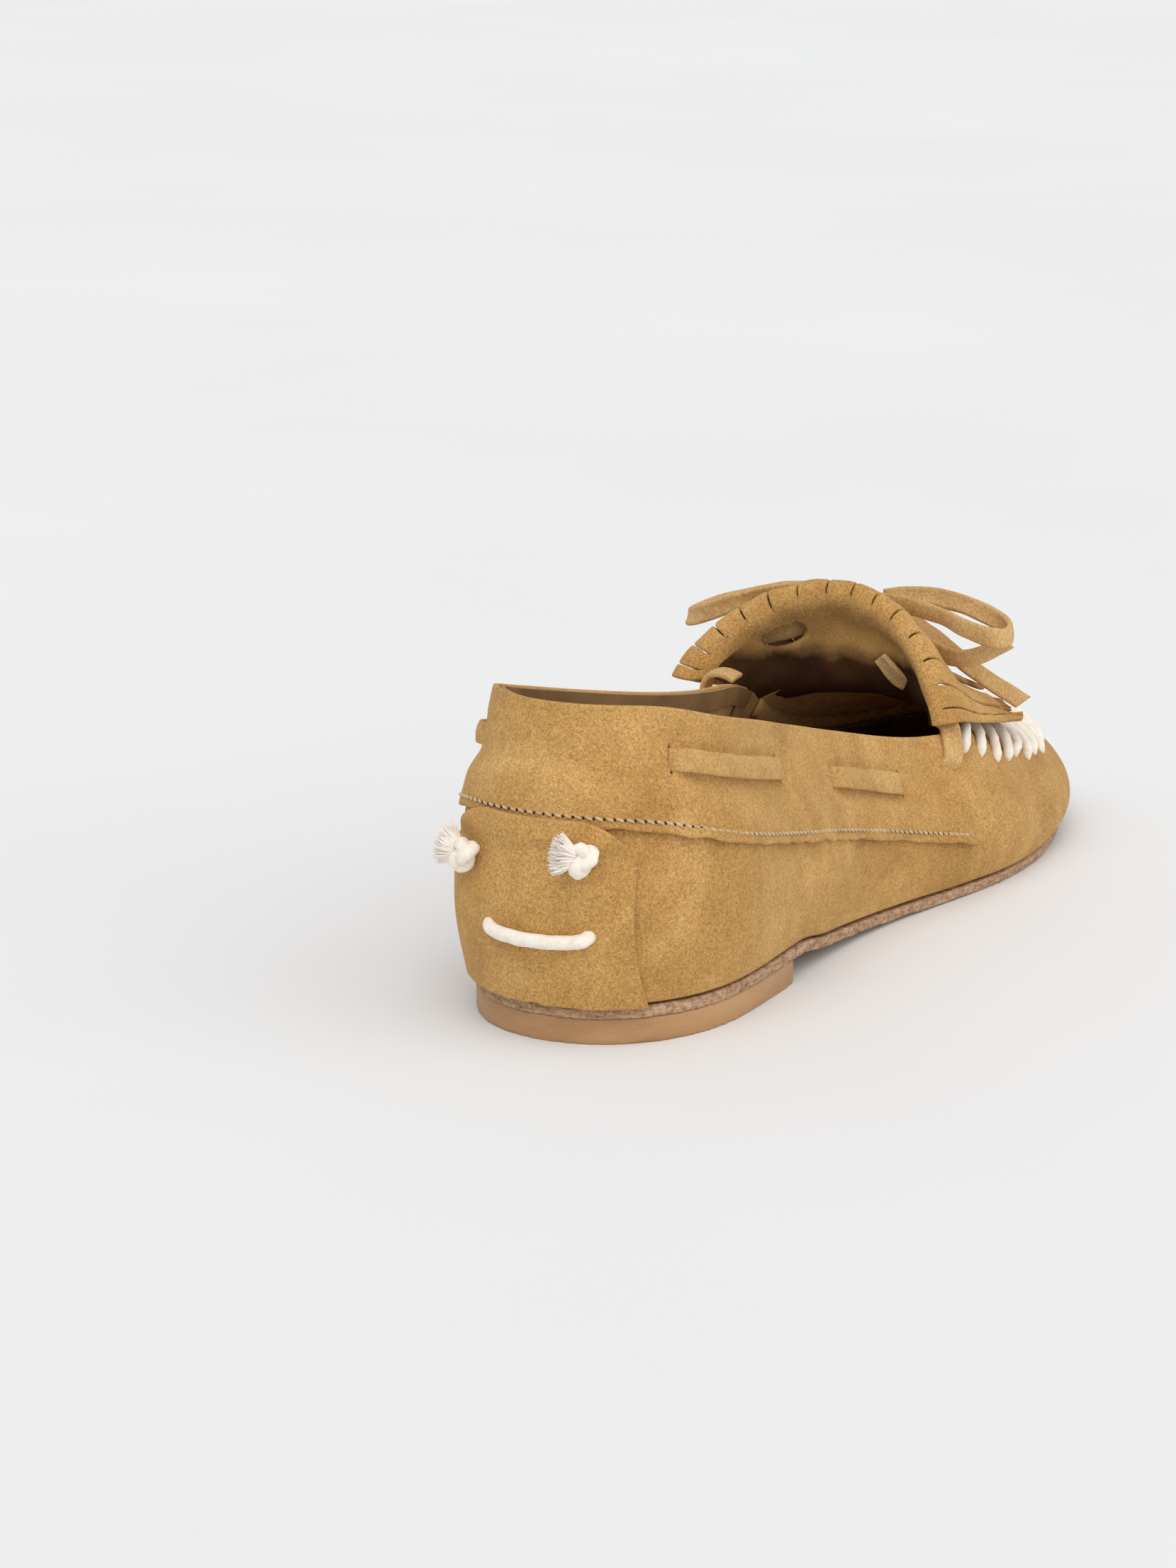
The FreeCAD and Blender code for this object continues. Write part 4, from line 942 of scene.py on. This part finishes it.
def frames(line):
    """Tangents and two crosswise directions that do not spin along the line."""
    tangent = unit(np.gradient(line, axis=0))
    start = np.array([0.0, 0.0, 1.0]) if abs(tangent[0][2]) < 0.9 else np.array([1.0, 0.0, 0.0])
    side = unit(np.cross(tangent[0], start))
    sides = []
    for t in tangent:
        side = unit(side - t * np.dot(side, t))
        sides.append(side)
    sides = np.array(sides)
    return tangent, sides, np.cross(tangent, sides)


def tube_parts(line, radius, ring=12, twist=0.0, strands=0, lump=0.0, seed=1):
    """A closed round cord along a line; strands gives it laid strands, lump an uneven thickness."""
    line = np.asarray(line, float)
    radius = np.broadcast_to(np.asarray(radius, float), (len(line),))
    _, side, other = frames(line)
    angle = np.linspace(0.0, 2.0 * math.pi, ring, endpoint=False)
    turn = angle[None, :] + twist * steps_along(line)[:, None]
    size = radius[:, None] * np.ones((1, ring))
    if strands:
        size = size * (0.93 + 0.07 * np.abs(np.cos(strands / 2.0 * turn)) * 2.0)
    points = (line[:, None, :] + side[:, None, :] * (np.cos(angle) * size)[..., None]
              + other[:, None, :] * (np.sin(angle) * size)[..., None])
    if lump:
        centre = line[:, None, :]
        points = centre + (points - centre) * (1.0 + lump * ripple(points, 2.6, seed))[..., None]
    count = len(line)
    vertices = np.concatenate([points.reshape(-1, 3), line[:1], line[-1:]])
    faces = []
    for i in range(count - 1):
        for j in range(ring):
            k = (j + 1) % ring
            faces.append((i * ring + j, (i + 1) * ring + j, (i + 1) * ring + k, i * ring + k))
    for j in range(ring):
        k = (j + 1) % ring
        faces.append((count * ring, j, k))
        faces.append((count * ring + 1, (count - 1) * ring + k, (count - 1) * ring + j))
    return vertices, faces


def spline_through(t, points, places):
    """A smooth line through points that lie at t, read at places."""
    return np.stack([Smooth(np.column_stack([t, points[:, k]]))(places) for k in range(3)], axis=1)


def smooth_line(points, count):
    """A smooth line of count points through a few points."""
    points = np.asarray(points, float)
    return spline_through(np.linspace(0.0, 1.0, len(points)), points, np.linspace(0.0, 1.0, count))


def rounded_ends(count, radius, share=0.12):
    """Radii along a cord that close to a round end at both ends."""
    t = np.linspace(0.0, 1.0, count)
    near = np.clip(np.minimum(t, 1.0 - t) / share, 0.0, 1.0)
    return radius * np.sqrt(np.maximum(1.0 - (1.0 - near) ** 2, 0.02))


def whip_stitches():
    """Plump cotton stitches over the seam between vamp and apron."""
    draw = np.random.default_rng(21)
    parts = []
    for i in range(STITCH_COUNT):
        u = mix(SEAM_FIRST, SEAM_LAST, (i + 0.5) / STITCH_COUNT)
        lean = (STITCH_LEAN + draw.uniform(-0.4, 0.4)) / PERIMETER
        size = STITCH_RADIUS + draw.uniform(-0.1, 0.1)
        height = wall_height(u)
        low = draw.uniform(0.0, 1.0) - mix(*STITCH_DROPS, smoothstep((outline(u)[1] - 165.0) / 25.0))
        over = [wall(u + along * lean, 1.0 + rise / height, offset)
                for along, rise, offset in ((-1.1, low - 1.3, -1.2), (-1.0, low, 0.7), (-0.3, -2.4, 1.25),
                                            (0.3, 0.0, 1.3))]
        nx, ns = outline_normal(u + lean)
        x_edge, s_edge = wall_plan(u + lean, 1.0)
        for inward, rise in STITCH_OVER_APRON:
            x = x_edge - nx * inward
            s = s_edge - ns * inward
            over.append(np.array([x, s, apron_height(x, s) + rise]))
        line = smooth_line(np.array(over).reshape(-1, 3), 22)
        radii = rounded_ends(22, size, 0.2)
        parts.append(tube_parts(line, radii, twist=0.9, strands=3, lump=0.05, seed=i))
    piece = add_mesh("whip_stitches", *join_parts(parts))
    dress(piece, COTTON_MATERIAL, "shoe", "cotton_cord", "whip_stitches")


def back_wall(shift, z, offset):
    """A point behind the heel: shift along the wall from the back seam, at height z."""
    u = BACK_U + shift / PERIMETER
    return wall(u, wall_v(u, z), offset)


PATCH_FACE = LAYER_GAP + SUEDE
BAR_LIFTS = ((1.04, -1.5), (0.98, -0.3), (0.86, 0.85), (0.5, 1.3))  # share of the half length, lift
KNOT_SCALE = (0.62, 1.02, 1.2)  # across, upwards and outwards
KNOT_LEAN = 20.0
TUFT_FIBRES = 420
FIBRE_LENGTHS = (4.6, 7.0)
FIBRE_RADII = (0.24, 0.4)


def heel_bar_stitch():
    """One long stitch across the patch, its ends going down into their holes."""
    half = BAR_LENGTH / 2.0
    keys = [(-t, lift) for t, lift in BAR_LIFTS] + [(0.0, 1.4)] + list(reversed(BAR_LIFTS))
    line = []
    for t, lift in keys:
        height = BAR_HEIGHT + BAR_SAG * t * t + 0.8 * smoothstep((abs(t) - 0.8) / 0.2)
        line.append(back_wall(BAR_CENTRE + half * t, height, PATCH_FACE + lift))
    line = smooth_line(line, 60)
    radii = rounded_ends(60, BAR_RADIUS, 0.14)
    piece = add_mesh("heel_bar_stitch", *tube_parts(line, radii, ring=20, twist=0.3, lump=0.04, seed=9))
    dress(piece, COTTON_MATERIAL, "shoe", "cotton_cord", "heel_bar_stitch")


def heel_knot(name, shift, height, seed):
    """An overhand knot in cotton cord with its frayed end fanning out beside it."""
    draw = np.random.default_rng(seed)
    centre = back_wall(shift, height, PATCH_FACE + 3.3)
    out = unit(back_wall(shift, height, 5.0) - back_wall(shift, height, 0.0))
    across = unit(back_wall(shift + 2.0, height, 0.0) - back_wall(shift - 2.0, height, 0.0))
    up = unit(np.cross(across, out))
    up = up * np.sign(up[2])
    tilt = math.radians(KNOT_LEAN)
    wide = across * math.cos(tilt) + up * math.sin(tilt)
    tall = up * math.cos(tilt) - across * math.sin(tilt)
    t = np.linspace(0.0, 2.0 * math.pi, 70)[:, None]
    line = centre
    trefoil = (np.sin(t) + 2.0 * np.sin(2.0 * t), np.cos(t) - 2.0 * np.cos(2.0 * t), -np.sin(3.0 * t))
    for value, way, scale in zip(trefoil, (wide, tall, out), KNOT_SCALE):
        line = line + value * way * scale
    cord = tube_parts(line, KNOT_CORD_RADIUS, ring=14, twist=0.8, strands=3, lump=0.05, seed=seed)
    knot = add_mesh(name, *cord)
    dress(knot, COTTON_MATERIAL, "shoe", "cotton_cord", name)
    fan = unit(across * 1.0 + up * 0.22 + out * 0.3)
    root = centre + fan * 2.0
    spread_a = unit(np.cross(fan, out))
    spread_b = unit(np.cross(fan, spread_a))
    threads = []
    for _ in range(TUFT_FIBRES):
        angle = draw.uniform(0.0, 2.0 * math.pi)
        r = math.sqrt(draw.uniform(0.0, 1.0))
        away = (spread_a * math.cos(angle) * 1.5 + spread_b * math.sin(angle) * 1.15) * r
        length = draw.uniform(*FIBRE_LENGTHS) * (1.0 - 0.12 * r)
        tip = root + fan * length * (1.0 - 0.3 * r) + away * (1.4 + length * 0.36)
        bend = unit(draw.normal(size=3)) * draw.uniform(0.2, 0.9)
        middle = root + fan * length * 0.45 + away * (1.4 + length * 0.22) + bend * 0.5
        thread = smooth_line([root + away * 1.3, middle, tip + bend * 0.6], 9)
        thin = np.linspace(draw.uniform(*FIBRE_RADII), 0.07, 9)
        threads.append(tube_parts(thread, thin, ring=5))
    tuft = add_mesh(name + "_tuft", *join_parts(threads))
    dress(tuft, TUFT_MATERIAL, "shoe", "cotton_cord")


THREAD_RADII = (0.18, 0.31, 0.35, 0.31, 0.18)
THREAD_PLACES = (0.08, 0.3, 0.5, 0.7, 0.92)  # shares of the pitch
THREAD_LIFTS = (-0.16, 0.1, 0.16, 0.1, -0.16)
NEEDLE_HOLE_RADIUS = 0.36


def machine_stitches():
    """The row of small stitches just above the collar's lower edge, and near-black tubes painted as the
    shade in their needle holes.
    """
    pitch = 2.1
    rise = 2.3
    first = u_at(COLLAR_FRONT_LOW - 3.0, -1)
    last = u_at(COLLAR_FRONT_LOW - 3.0, 1)
    count = int((last - first) * PERIMETER / pitch)
    slant = np.linspace(-0.3, 0.3, len(THREAD_PLACES))
    threads = []
    holes = []
    for i in range(count):
        u = np.array([mix(first, last, (i + part) / count) for part in THREAD_PLACES])
        v = wall_v(u, collar_lower(outline(u)[1]) + rise + slant)
        line = wall(u, v, (SUEDE + LAYER_GAP) * collar_cover(u, v) + np.array(THREAD_LIFTS))
        threads.append(tube_parts(line, THREAD_RADII, ring=8))
        # Each needle hole is a near-black tube standing out of the collar: painted shade in the hole.
        hole_u = np.array([mix(first, last, i / count)])
        hole_v = wall_v(hole_u, collar_lower(outline(hole_u)[1]) + rise)
        depth = (SUEDE + LAYER_GAP) * collar_cover(hole_u, hole_v)
        line = np.concatenate([wall(hole_u, hole_v, depth - 0.25), wall(hole_u, hole_v, depth + 0.09)])
        holes.append(tube_parts(line, NEEDLE_HOLE_RADIUS, ring=8))
    row = add_mesh("machine_stitches", *join_parts(threads))
    dress(row, THREAD_MATERIAL, "shoe", "cotton_cord")
    dots = add_mesh("needle_holes", *join_parts(holes))
    dress(dots, HOLE_SHADE_MATERIAL, "shoe", "suede")


whip_stitches()
heel_bar_stitch()
heel_knot("heel_knot_medial", KNOT_CENTRE + KNOT_SPACING / 2.0, KNOT_HEIGHT - KNOT_TILT, seed=31)
heel_knot("heel_knot_lateral", KNOT_CENTRE - KNOT_SPACING / 2.0, KNOT_HEIGHT + KNOT_TILT, seed=37)
machine_stitches()


# ---- the fold-over tongue ----

ARCH_WIDTH = 95.0
ARCH_LENGTH = 85.0
LACE_HOLE = (0.69, 0.295)
LACE_HOLE_SIZE = (6.2, 3.1)
LACE_BEHIND = [(0.80, 0.29, -3.4), (0.73, 0.285, -2.8), (0.68, 0.28, -2.6), (0.62, 0.29, -3.6)]
LACE_INSIDE_END = [(0.29, 0.185, 0.2), (0.32, 0.2, 1.4), (0.35, 0.222, 2.2), (0.38, 0.245, 2.4)]
SLIT_WIDTH = 0.3
SLIT_START = 0.37
SLIT_START_CURVE = 0.045
STRIP_RANGES = ((0.0, 2.2), (-0.5, 0.5), (-0.9, 0.9), (0.0, 0.05))  # lift, side, roll, shortening
TONGUE_ROWS = 80.0
ROOT_END = 0.33


def arch_points(a):
    """The points of all arches at places a across, as (arch, place, xyz)."""
    turn = (a - 0.5) * math.pi
    across = np.abs(np.sin(turn))
    lift = np.maximum(np.cos(turn), 0.0) ** ARCH_FULLNESS
    rows = []
    for lateral, crown, medial in TONGUE_ARCHES:
        end = np.where((a < 0.5)[:, None], np.array(lateral), np.array(medial))
        x = mix(crown[0], end[:, 0], across)
        s = mix(end[:, 1], crown[1], lift)
        z = mix(end[:, 2], crown[2], lift)
        rows.append(np.stack([x, s, z], axis=-1))
    return np.array(rows)


def tongue_grid(a, c):
    """Middle points of the tongue: a across from lateral, c (a grid) from root to fringe end."""
    rows = arch_points(a)
    grid = []
    for i in range(len(a)):
        t = steps_along(rows[:, i])
        grid.append(spline_through(t / t[-1], rows[:, i], c[i]))
    return np.array(grid)


def strip_columns():
    """Places across the tongue with close lines beside every slit, and each one's strip."""
    a = []
    strip = []
    cross = []
    width = ARCH_WIDTH / FRINGE_STRIPS
    for i in range(FRINGE_STRIPS):
        inset = SLIT_WIDTH / 2.0
        local = lines(width - 2.0 * inset, 1.2) + inset
        a += list((i * width + local) / ARCH_WIDTH)
        strip += [i] * len(local)
        cross += list(2.0 * local / width - 1.0)
    a[0] = 0.0
    a[-1] = 1.0
    return np.array(a), np.array(strip), np.array(cross)


def tongue_surface():
    """The whole sheet as a grid, with the strips of the fringe moved a little apart."""
    draw = np.random.default_rng(53)
    a, strip, cross = strip_columns()
    c = lines(TONGUE_ROWS, 0.9) / TONGUE_ROWS
    c[np.argmin(np.abs(c - ROOT_END))] = ROOT_END
    lift, side, roll, short = [draw.uniform(low, high, FRINGE_STRIPS) for low, high in STRIP_RANGES]
    c_grid = np.repeat(c[None, :], len(a), axis=0)
    a_grid = np.repeat(a[:, None], len(c), axis=1)
    same_strip = strip[1:] == strip[:-1]
    slit_start = SLIT_START + SLIT_START_CURVE * np.sin(math.pi * a[1:])
    keep = same_strip[:, None] | (c[None, 1:] <= slit_start[:, None])
    hole_a, hole_c = LACE_HOLE
    x = (a_grid - hole_a) * ARCH_WIDTH
    y = (c_grid - hole_c) * ARCH_LENGTH
    factor = cut_hole(keep, x, y, *LACE_HOLE_SIZE)
    a_grid = a_grid + (factor - 1.0) * x / ARCH_WIDTH
    c_grid = c_grid + (factor - 1.0) * y / ARCH_LENGTH
    free = np.clip((c_grid - 0.5) / 0.5, 0.0, 1.0)
    c_grid = c_grid - free * short[strip][:, None]
    points = tongue_grid(a, c_grid)
    shift = (a_grid - a[:, None])[..., None]
    points = points + np.gradient(points, a, axis=0) * shift
    normals = grid_normals(points)
    across = unit(np.gradient(points, axis=0))
    move = lift[strip][:, None] * free ** 1.6 + 0.7 * roll[strip][:, None] * cross[:, None] * free
    cup = 0.35 * (1.0 - cross[:, None] ** 2) * free
    sideways = side[strip][:, None] * free ** 1.3
    points = points - normals * (move + cup)[..., None] + across * sideways[..., None]
    centres = np.array([np.mean(points[strip == i], axis=0) for i in range(FRINGE_STRIPS)])[strip]
    points = centres + (points - centres) / (1.0 + 0.02 * free)[..., None]
    return rippled(points, 0.2, 11.0, 14), keep, c


def tongue():
    points, keep, c = tongue_surface()
    split = int(np.argmin(np.abs(c - ROOT_END)))
    root = shell("kiltie_root", points[:, :split + 1], SUEDE, keep[:, :split], joined=-1)
    # The root's material paints the toe box's shade into its lower part, over the lining brown.
    root.data.materials.append(ROOT_LINING_AND_SHADE_MATERIAL)
    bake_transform(root)
    roll = shell("kiltie_tongue", points[:, split:], SUEDE, keep[:, split:], joined=0)
    dress(roll, SUEDE_MATERIAL, "tongue", "suede", "kiltie_tongue")


def tongue_lace():
    """The lace inside the tongue: where it passes the hole, and its knotted end."""
    steps = 200
    rear = 80
    c_rows = np.repeat(np.linspace(0.0, 0.5, rear + 1)[None, :], steps + 1, axis=0)
    patch = tongue_grid(np.linspace(0.0, 1.0, steps + 1), c_rows)
    normals = grid_normals(patch)
    parts = []
    for places, width in ((LACE_BEHIND, LACE_WIDTH), (LACE_INSIDE_END, LACE_WIDTH * 0.85)):
        a, c, offset = np.array(places).T
        i = np.rint(a * steps).astype(int)
        j = np.rint(c * 2 * rear).astype(int)
        route = patch[i, j] + normals[i, j] * offset[:, None]
        line = ribbon_line(smooth_line(route, 40))
        upright = unit(patch[i, np.minimum(j + 4, rear)] - patch[i, j])
        parts.append(shell_parts(ribbon_grid(line, upright, width, cup=0.3), LACE_THICKNESS))
    piece = add_mesh("tongue_lace", *join_parts(parts))
    dress(piece, LACE_MATERIAL, "tongue", "suede_lace")


tongue()
tongue_lace()


# ---- knot of the bow, and the lace runs between collar and tongue ----

WRAP_WIDTH = 5.6
WRAP_RADII = (3.5, 4.3)
BUNCH_ENDS = (-5.8, 5.0)
BUNCH_RADIUS = 2.1


def bow_knot():
    """The lace wrapped once round the crossing strands, with the bunched strands inside."""
    centre = np.array(BOW_KNOT)
    turn = np.linspace(-0.62 * math.pi, 1.5 * math.pi, 70)
    radius = np.linspace(*WRAP_RADII, 70)
    ring = np.stack([0.9 * np.sin(turn * 0.5), -np.cos(turn) * radius * 0.95, np.sin(turn) * radius * 0.92],
                    axis=-1)
    w = lines(WRAP_WIDTH, 0.7) - WRAP_WIDTH / 2.0
    grid = centre + ring[:, None, :] + np.array([1.0, 0.06, 0.16]) * w[None, :, None]
    inward = unit(ring * np.array([0.0, 1.0, 1.0]))
    pinch = 0.55 * (2.0 * w / WRAP_WIDTH) ** 2
    wrap = shell_parts(grid - inward[:, None, :] * pinch[None, :, None], LACE_THICKNESS)
    rise = 0.4 * np.sin(np.linspace(0.0, 3.0, 30))
    line = np.stack([np.linspace(*BUNCH_ENDS, 30), 0.0 * rise, rise], axis=-1)
    swell = BUNCH_RADIUS + 0.9 * np.abs(np.linspace(-1.0, 1.0, 30)) ** 1.5
    bunch = tube_parts(centre + line, swell, ring=24, strands=5, lump=0.08, seed=3)
    piece = add_mesh("bow_knot", *join_parts([wrap, bunch]))
    dress(piece, LACE_MATERIAL, "tongue", "suede_lace", "bow_knot")


LACE_RUN_LATERAL = [(-32.6, 146.2, 33.6), (-34.7, 147.2, 35.3), (-34.3, 148.7, 38.4), (-33.2, 150.1, 41.0),
                    (-31.8, 151.0, 43.4), (-29.4, 151.2, 44.2)]
LACE_RUN_MEDIAL = [(27.6, 139.4, 38.4), (29.0, 138.4, 44.0), (27.6, 137.0, 51.8), (22.8, 136.4, 53.8),
                   (19.0, 136.4, 52.6)]
RUN_UPRIGHT_LATERAL = [(-0.3, 1.0, -0.2), (-0.6, 0.8, -0.2), (-0.8, 0.7, 0.0), (-0.8, 0.7, 0.1),
                       (-0.8, 0.7, 0.1)]
RUN_UPRIGHT_MEDIAL = [(0.0, 1.0, -0.3), (0.0, 1.0, -0.2), (0.0, 1.0, 0.0), (0.0, 1.0, 0.1), (0.0, 1.0, 0.2)]


def lace_run(name, route, upright):
    grid = ribbon_grid(ribbon_line(smooth_line(route, 60)), upright, LACE_WIDTH, cup=0.3)
    piece = shell(name, grid, LACE_THICKNESS)
    dress(piece, LACE_MATERIAL, "shoe", "suede_lace", name)


bow_knot()
lace_run("lace_run_lateral", LACE_RUN_LATERAL, RUN_UPRIGHT_LATERAL)
lace_run("lace_run_medial", LACE_RUN_MEDIAL, RUN_UPRIGHT_MEDIAL)


# ---- sole and heel: worn-in copies of the CAD solids ----

def softened(node, name, voxel, rough, size, seed):
    """A copy of a CAD solid with its edges eased and its faces slightly uneven."""
    piece = add_object(name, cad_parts[node].data.copy())
    remesh = piece.modifiers.new("even", "REMESH")
    remesh.mode = "VOXEL"
    remesh.voxel_size = voxel * MM
    ease = piece.modifiers.new("ease", "SMOOTH")
    ease.iterations = 3
    ease.factor = 0.5
    bpy.context.view_layer.update()
    mesh = bpy.data.meshes.new_from_object(piece.evaluated_get(bpy.context.evaluated_depsgraph_get()))
    piece.modifiers.clear()
    piece.data = mesh
    co = np.zeros(len(mesh.vertices) * 3)
    normal = np.zeros(len(mesh.vertices) * 3)
    mesh.vertices.foreach_get("co", co)
    mesh.vertices.foreach_get("normal", normal)
    co = co.reshape(-1, 3)
    side = 1.0 - np.abs(normal.reshape(-1, 3)[:, 2:3])
    uneven = rough * MM * ripple(co / MM, size, seed)[:, None] * side
    mesh.vertices.foreach_set("co", (co + normal.reshape(-1, 3) * uneven).ravel())
    mesh.shade_smooth()
    mesh.update()
    return piece


outsole = softened("outsole", "outsole_edge", voxel=0.55, rough=0.09, size=1.6, seed=5)
dress(outsole, SOLE_MATERIAL, "shoe", "sole_leather", "outsole")
heel = softened("heel_block", "heel_stack", voxel=0.6, rough=0.03, size=12.0, seed=6)
dress(heel, HEEL_MATERIAL, "shoe", "heel_leather", "heel_block")


# ---- hidden and inner CAD nodes keep their shape ----

INNER = {
    "bottom_filler": CORK_MATERIAL,
    "shank": STEEL_MATERIAL,
    "insole_board": BOARD_MATERIAL,
    "heel_pad": FOAM_MATERIAL,
    "sock_lining": SOCK_MATERIAL,
    "heel_counter": STIFFENER_MATERIAL,
    "toe_puff": STIFFENER_MATERIAL,
    "quarter_lining": LINING_MATERIAL,
    "vamp_lining": LINING_MATERIAL,
    "topline_facing": FACING_MATERIAL,
}


def dress_inner():
    for node, material in INNER.items():
        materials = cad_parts[node].data.materials
        materials.clear()
        materials.append(material)


dress_inner()


# ---- floor and soft light ----

SKY_STRENGTH = 0.62
SUN_STRENGTH = 0.95
SUNS = (  # name, width in the sky, colour, turn
    ("key", 50.0, (1.0, 0.975, 0.94), (34.0, 0.0, 190.0)),
    ("fill", 90.0, (1.0, 0.98, 0.955), (52.0, 0.0, 255.0)),
)


def studio():
    mesh = bpy.data.meshes.new("floor")
    half = 9.0
    mesh.from_pydata([(-half, -half, 0.0), (half, -half, 0.0), (half, half, 0.0), (-half, half, 0.0)], [],
                     [(0, 1, 2, 3)])
    floor = add_object("floor", mesh)
    n = Nodes("floor_paper")
    tone = n.ramp(n.noise(3.0, 3.0), [(0.3, (0.83, 0.828, 0.822)), (0.7, (0.86, 0.86, 0.855))])
    mesh.materials.append(n.finish(tone, Roughness=0.85, Specular_IOR_Level=0.1))
    world = bpy.data.worlds.new("studio")
    world.use_nodes = True
    world.node_tree.nodes["Background"].inputs["Color"].default_value = (0.93, 0.955, 1.0, 1.0)
    world.node_tree.nodes["Background"].inputs["Strength"].default_value = SKY_STRENGTH
    bpy.context.scene.world = world
    for name, angle, colour, turn in SUNS:
        light = bpy.data.lights.new(name, "SUN")
        light.energy = SUN_STRENGTH
        light.angle = math.radians(angle)
        light.color = colour
        add_object(name, light).rotation_euler = [math.radians(v) for v in turn]
    bpy.context.scene.view_settings.view_transform = "Standard"


studio()
